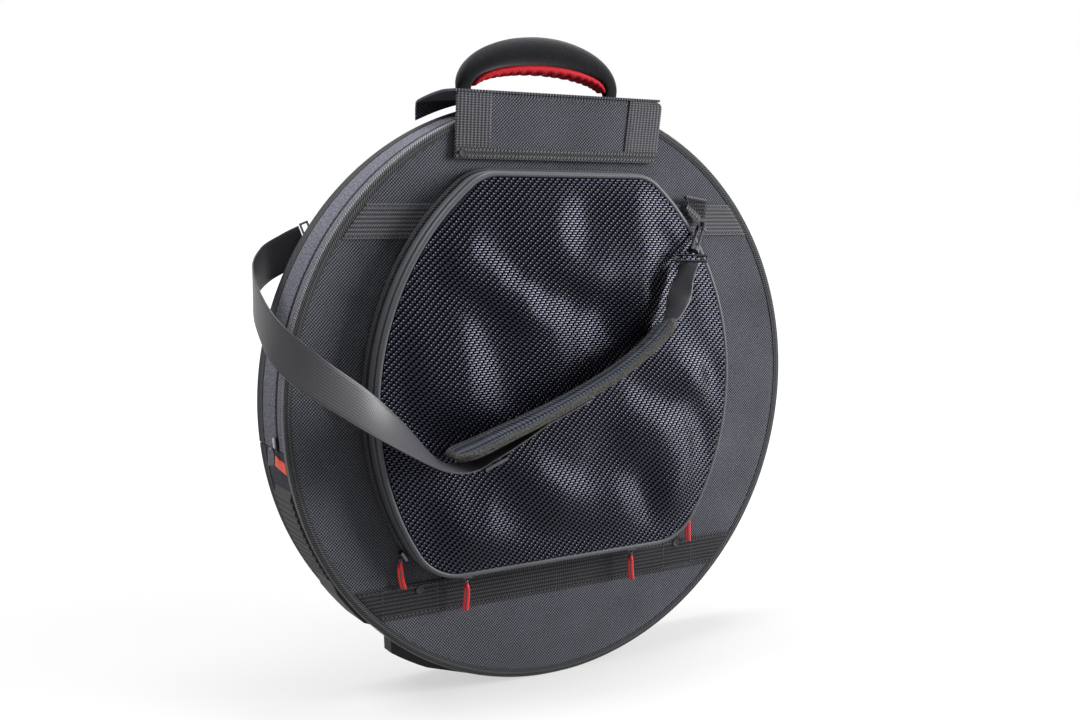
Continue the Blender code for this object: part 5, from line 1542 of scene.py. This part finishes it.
@dataclass
class Hardware:
    """Rings, hooks and sliders that keep their solids, and the pulls that are made anew."""

    kept: tuple[str, ...] = ("ring_{}_wire", "hook_{}_body", "gate_{}_bar", "swivel_{}_eye")
    # How far the end of each pull bends to the side, in metres; the red ones hang on the pocket.
    red: tuple[tuple[str, float], ...] = (
        ("outer_left", 0.0035), ("outer_right", 0.0010), ("front_left", -0.0015), ("front_right", 0.0020)
    )  # fmt: skip
    black: tuple[tuple[str, float], ...] = (("main_left", 0.0), ("main_right", 0.0))
    twist: float = 58.0
    tab_half: float = 0.0120
    tab_radius: float = 0.0027
    tab_sheet: float = 0.0010
    patch_sheet: float = 0.0014
    patch_rise: float = 0.0030
    pull_head: float = 0.0050
    eye_wire: float = 0.0006
    eye_half: Pair = (0.0024, 0.0034)

    def strap_tab(self, plan: TabPlan) -> None:
        """Fold webbing round a ring's bar and sew it down under a patch.

        Args:
            plan: where the tab sits and how its patch is cut.
        """
        out, seat, radius = plan.out, plan.seat, self.tab_radius
        bar, along = Vector(plan.bar), Vector(plan.along).normalized()
        up = along.cross(FORWARD)
        up = up if up.z > 0.0 else -up
        path = [(0.0140, seat + out * 0.0007), (0.0075, seat + out * 0.0007)]
        for i in range(9):
            turn = QUARTER + math.pi * i / 8.0
            path.append((radius * math.cos(turn), bar.y - out * radius * math.sin(turn)))
        path += [(0.0040, bar.y + out * radius * 0.75)]
        path += [(0.0085, seat + out * 0.0035), (0.0140, seat + out * 0.0034)]

        def beside(side: float, depth: float, rise: float) -> Vector:
            """Return a point by its place along the bar, its depth and its rise above the bar."""
            return Vector((bar.x, depth, bar.z)) + up * rise + along * side

        def place(s: float, t: float) -> Vector:
            """Return a point of the folded webbing: s along the fold, t across it."""
            rise, depth = path[round(s * (len(path) - 1))]
            return beside(self.tab_half * (2.0 * t - 1.0), depth, rise)

        loop = bent_grid(plan.node + "_loop", len(path) - 1, 4, place, (0.0360, 2.0 * self.tab_half))
        thicken(loop, self.tab_sheet, 0.0)
        deliver(loop, BAND_WEBBING, plan.body, [plan.node], 60.0)

        level, add = seat + out * 0.0044, bpy.ops.mesh.primitive_circle_add
        patch = new_mesh(plan.node + "_patch", add, vertices=len(plan.patch), radius=1.0, fill_type="NGON")
        for vert, (side, rise) in zip(patch.data.vertices, plan.patch):
            vert.co = beside(side, level, rise + self.patch_rise)
        outwards = patch.data.polygons[0].normal.y * out > 0
        thicken(patch, self.patch_sheet, 1.0 if outwards else -1.0)
        shape(patch, "BEVEL", width=0.0005, segments=2)
        lay_flat_uv(patch)
        # The patch takes the webbing's darker copy, painted shade.
        deliver(patch, WEBBING_PAINTED_SHADE, plan.body)

        corners = [beside(side, level + out * 0.0016, rise + self.patch_rise) for side, rise in plan.patch]
        middle = sum(corners, Vector()) / len(corners)
        start, end = (corner.lerp(middle, 0.12) + Vector((0.0, out * 0.0004, 0.0)) for corner in corners[1:3])
        roll = [start.lerp(end, share / 6.0) for share in range(7)]
        deliver(tube(plan.node + "_hem", roll, 0.0021), BAND_WEBBING, plan.body)
        path = [middle + (corner - middle) * 0.80 for corner in corners + corners[:1]]
        deliver(stitches(plan.node + "_seam", path, Vector((0.0, out, 0.0))), THREAD, plan.body)

    def pull(self, word: str, finish: Finish, lean: float) -> None:
        """Hang one pull from its slider: a wire loop and a soft tab that bends a little.

        Args:
            word: which slider it hangs from.
            finish: finish of the tab.
            lean: how far the tab's end bends to the side, in metres.
        """
        node, body = word + "_pull_tab", word + "_pull"
        low, high = own_box(node)
        middle, half = (low + high) / 2.0, (high - low) / 2.0
        top, length = high.z - self.pull_head, high.z - low.z - self.pull_head

        def twisted(share: float) -> Pair:
            """Return how far the middle line bends and turns at this share of the length."""
            bend = lean * (share**1.6) - 0.3 * lean * math.sin(share * math.pi)
            return bend, math.radians(self.twist) * ease(share, 0.0, 0.35)

        rows = []
        for i in range(25):
            share = i / 24.0
            width = half.y * (0.72 + 0.28 * ease(share, 0.0, 0.3)) * (1.0 - 0.12 * ease(share, 0.92, 1.0))
            thick = half.x * (0.7 if share < 0.04 or share > 0.96 else 0.95)
            bend, turned = twisted(share)
            lie, spot = Matrix.Rotation(turned, 3, "Z"), Vector((middle.x + bend, middle.y, top - length * share))
            rows.append([spot + lie @ Vector((x * thick, y * width, 0.0)) for x, y in soft_oval(16, 0.6, 0.6)])

        def striped_uv(vert: bpy.types.MeshVertex, _: bpy.types.MeshPolygon) -> Pair:
            """Return the height, and the distance across the tab from its middle line."""
            bend, turned = twisted(max(0.0, min(1.0, (top - vert.co.z) / length)))
            off = vert.co - Vector((middle.x + bend, middle.y, vert.co.z))
            return vert.co.z, (Matrix.Rotation(-turned, 3, "Z") @ off).y

        tab = stuffed(body + "_soft", rows)
        lay_uv(tab, striped_uv)
        deliver(tab, finish, body, [node], 60.0)
        wide, tall = self.eye_half
        centre = Vector((middle.x, middle.y, top + 0.0012))
        eye = [centre + Vector((0.0, wide * math.cos(a), tall * math.sin(a))) for a in turns(18)]
        deliver(tube(body + "_eye", eye, self.eye_wire, closed=True), BLACK_NICKEL, body, smooth=80.0)

    def build(self) -> None:
        """Dress the metal and hang the pulls."""
        nodes = [pattern.format(end) for pattern in self.kept for end in ("front", "rear")]
        nodes += [word + "_slider_body" for word, _ in self.black + self.red]
        for node in nodes:
            repaint(node, BLACK_NICKEL)
        for tab in TABS:
            self.strap_tab(tab)
        for pulls, finish in ((self.red, RED_PULL), (self.black, BLACK_NICKEL)):
            for word, lean in pulls:
                self.pull(word, finish, lean)


# ---------------------------------------------------------------- studio


def background_rays(tree: Tree) -> Socket:
    """Return 1 for the rays that should see a white background, and 0 for those that light the bag."""
    rays = add_node(tree, "LightPath").outputs
    seen = calc(tree, "MAXIMUM", rays["Is Camera Ray"], rays["Is Glossy Ray"])
    return calc(tree, "MAXIMUM", seen, rays["Is Transmission Ray"])


@dataclass
class Studio:
    """White paper floor and backdrop, soft light, and the photograph's view."""

    camera_place: Point = (-0.7547, -1.1783, 0.2240)
    camera_way: Point = (0.5206, 0.8436, -0.1316)
    roll: float = 0.58
    lens: float = 42.07
    # Name, place, side in metres and power of each softbox, and the point that they all face.
    lamps: tuple[tuple[str, Point, float, float], ...] = (
        ("left_softbox", (-1.7, 0.3, 2.6), 1.0, 60.0),
        ("right_softbox", (2.15, -1.5, 1.0), 1.2, 108.0),
        ("top_softbox", (0.3, -0.2, 2.9), 1.1, 52.0),
    )
    aim: Point = (0.0, 0.0, 0.3)
    world_strength: float = 0.25
    paper: str = "8c8c8c"
    floor_size: float = 60.0
    # Glow of the paper under the bag and away from it, and the squared distances between which it rises.
    floor_glow: Pair = (0.58, 1.0)
    glow_reach: Pair = (0.2, 3.0)

    def build_camera(self) -> None:
        """Set the camera where the photograph was taken."""
        data = bpy.data.cameras.new("photo_camera")
        data.lens = self.lens
        data.sensor_width = 36.0
        camera = new_thing("photo_camera", data)
        way = Vector(self.camera_way).normalized()
        right = way.cross(UP).normalized()
        up = right.cross(way)
        cos, sin = math.cos(math.radians(self.roll)), math.sin(math.radians(self.roll))
        axes = Matrix((right * cos + up * sin, up * cos - right * sin, -way)).transposed().to_4x4()
        camera.matrix_world = Matrix.Translation(Vector(self.camera_place) + ORIGIN) @ axes
        bpy.context.scene.camera = camera

    def build_floor(self) -> None:
        """Lay the paper floor, which keeps the bag's shadow and is white elsewhere."""
        floor = new_mesh("paper_floor", bpy.ops.mesh.primitive_plane_add, size=self.floor_size)
        paper = bpy.data.materials.new("paper_white")
        paper.use_nodes = True
        tree = paper.node_tree
        shader = tree.nodes["Principled BSDF"]
        shader.inputs["Roughness"].default_value = 0.9
        shader.inputs["Base Color"].default_value = linear(self.paper)
        split = add_node(tree, "SeparateXYZ", {0: add_node(tree, "TexCoord").outputs["Object"]})
        away = calc(tree, "ADD", *(calc(tree, "POWER", split.outputs[i], 2.0) for i in (0, 1)))
        (near, far), (low, high) = self.glow_reach, self.floor_glow
        feeds = {"Value": away, "From Min": near, "From Max": far, "To Min": low, "To Max": high}
        level = add_node(tree, "MapRange", feeds, interpolation_type="SMOOTHSTEP").outputs[0]
        glow = calc(tree, "MULTIPLY", background_rays(tree), level)
        shader.inputs["Emission Color"].default_value = WHITE
        tree.links.new(glow, shader.inputs["Emission Strength"])
        floor.data.materials.append(paper)

    def build_light(self) -> None:
        """Hang the softboxes and set the white surround."""
        for name, place, size, power in self.lamps:
            data = bpy.data.lights.new(name, "AREA")
            data.shape = "SQUARE"
            data.size = size
            data.energy = power
            way = (Vector(self.aim) - Vector(place)).normalized()
            turn = way.to_track_quat("-Z", "Y").to_matrix().to_4x4()
            new_thing(name, data).matrix_world = Matrix.Translation(Vector(place)) @ turn
        world = bpy.data.worlds.new("studio_surround")
        bpy.context.scene.world = world
        world.use_nodes = True
        tree = world.node_tree
        shader = tree.nodes["Background"]
        rest = 1.0 - self.world_strength
        share = calc(tree, "MULTIPLY_ADD", background_rays(tree), rest, self.world_strength)
        tree.links.new(share, shader.inputs["Strength"])
        shader.inputs["Color"].default_value = WHITE

    def build(self) -> None:
        """Set camera, floor and light."""
        bpy.context.scene.view_settings.view_transform = "Standard"
        self.build_camera()
        self.build_floor()
        self.build_light()


def main() -> None:
    """Build the studio and every sub-assembly."""
    logging.basicConfig(level=logging.INFO, format="%(message)s")
    for part in (Studio(), Case(), Trim(), Pocket(), Saddle(), Handle(), Strap(), Hardware()):
        LOG.info("building %s", type(part).__name__)
        part.build()


if __name__ == "__main__":
    main()
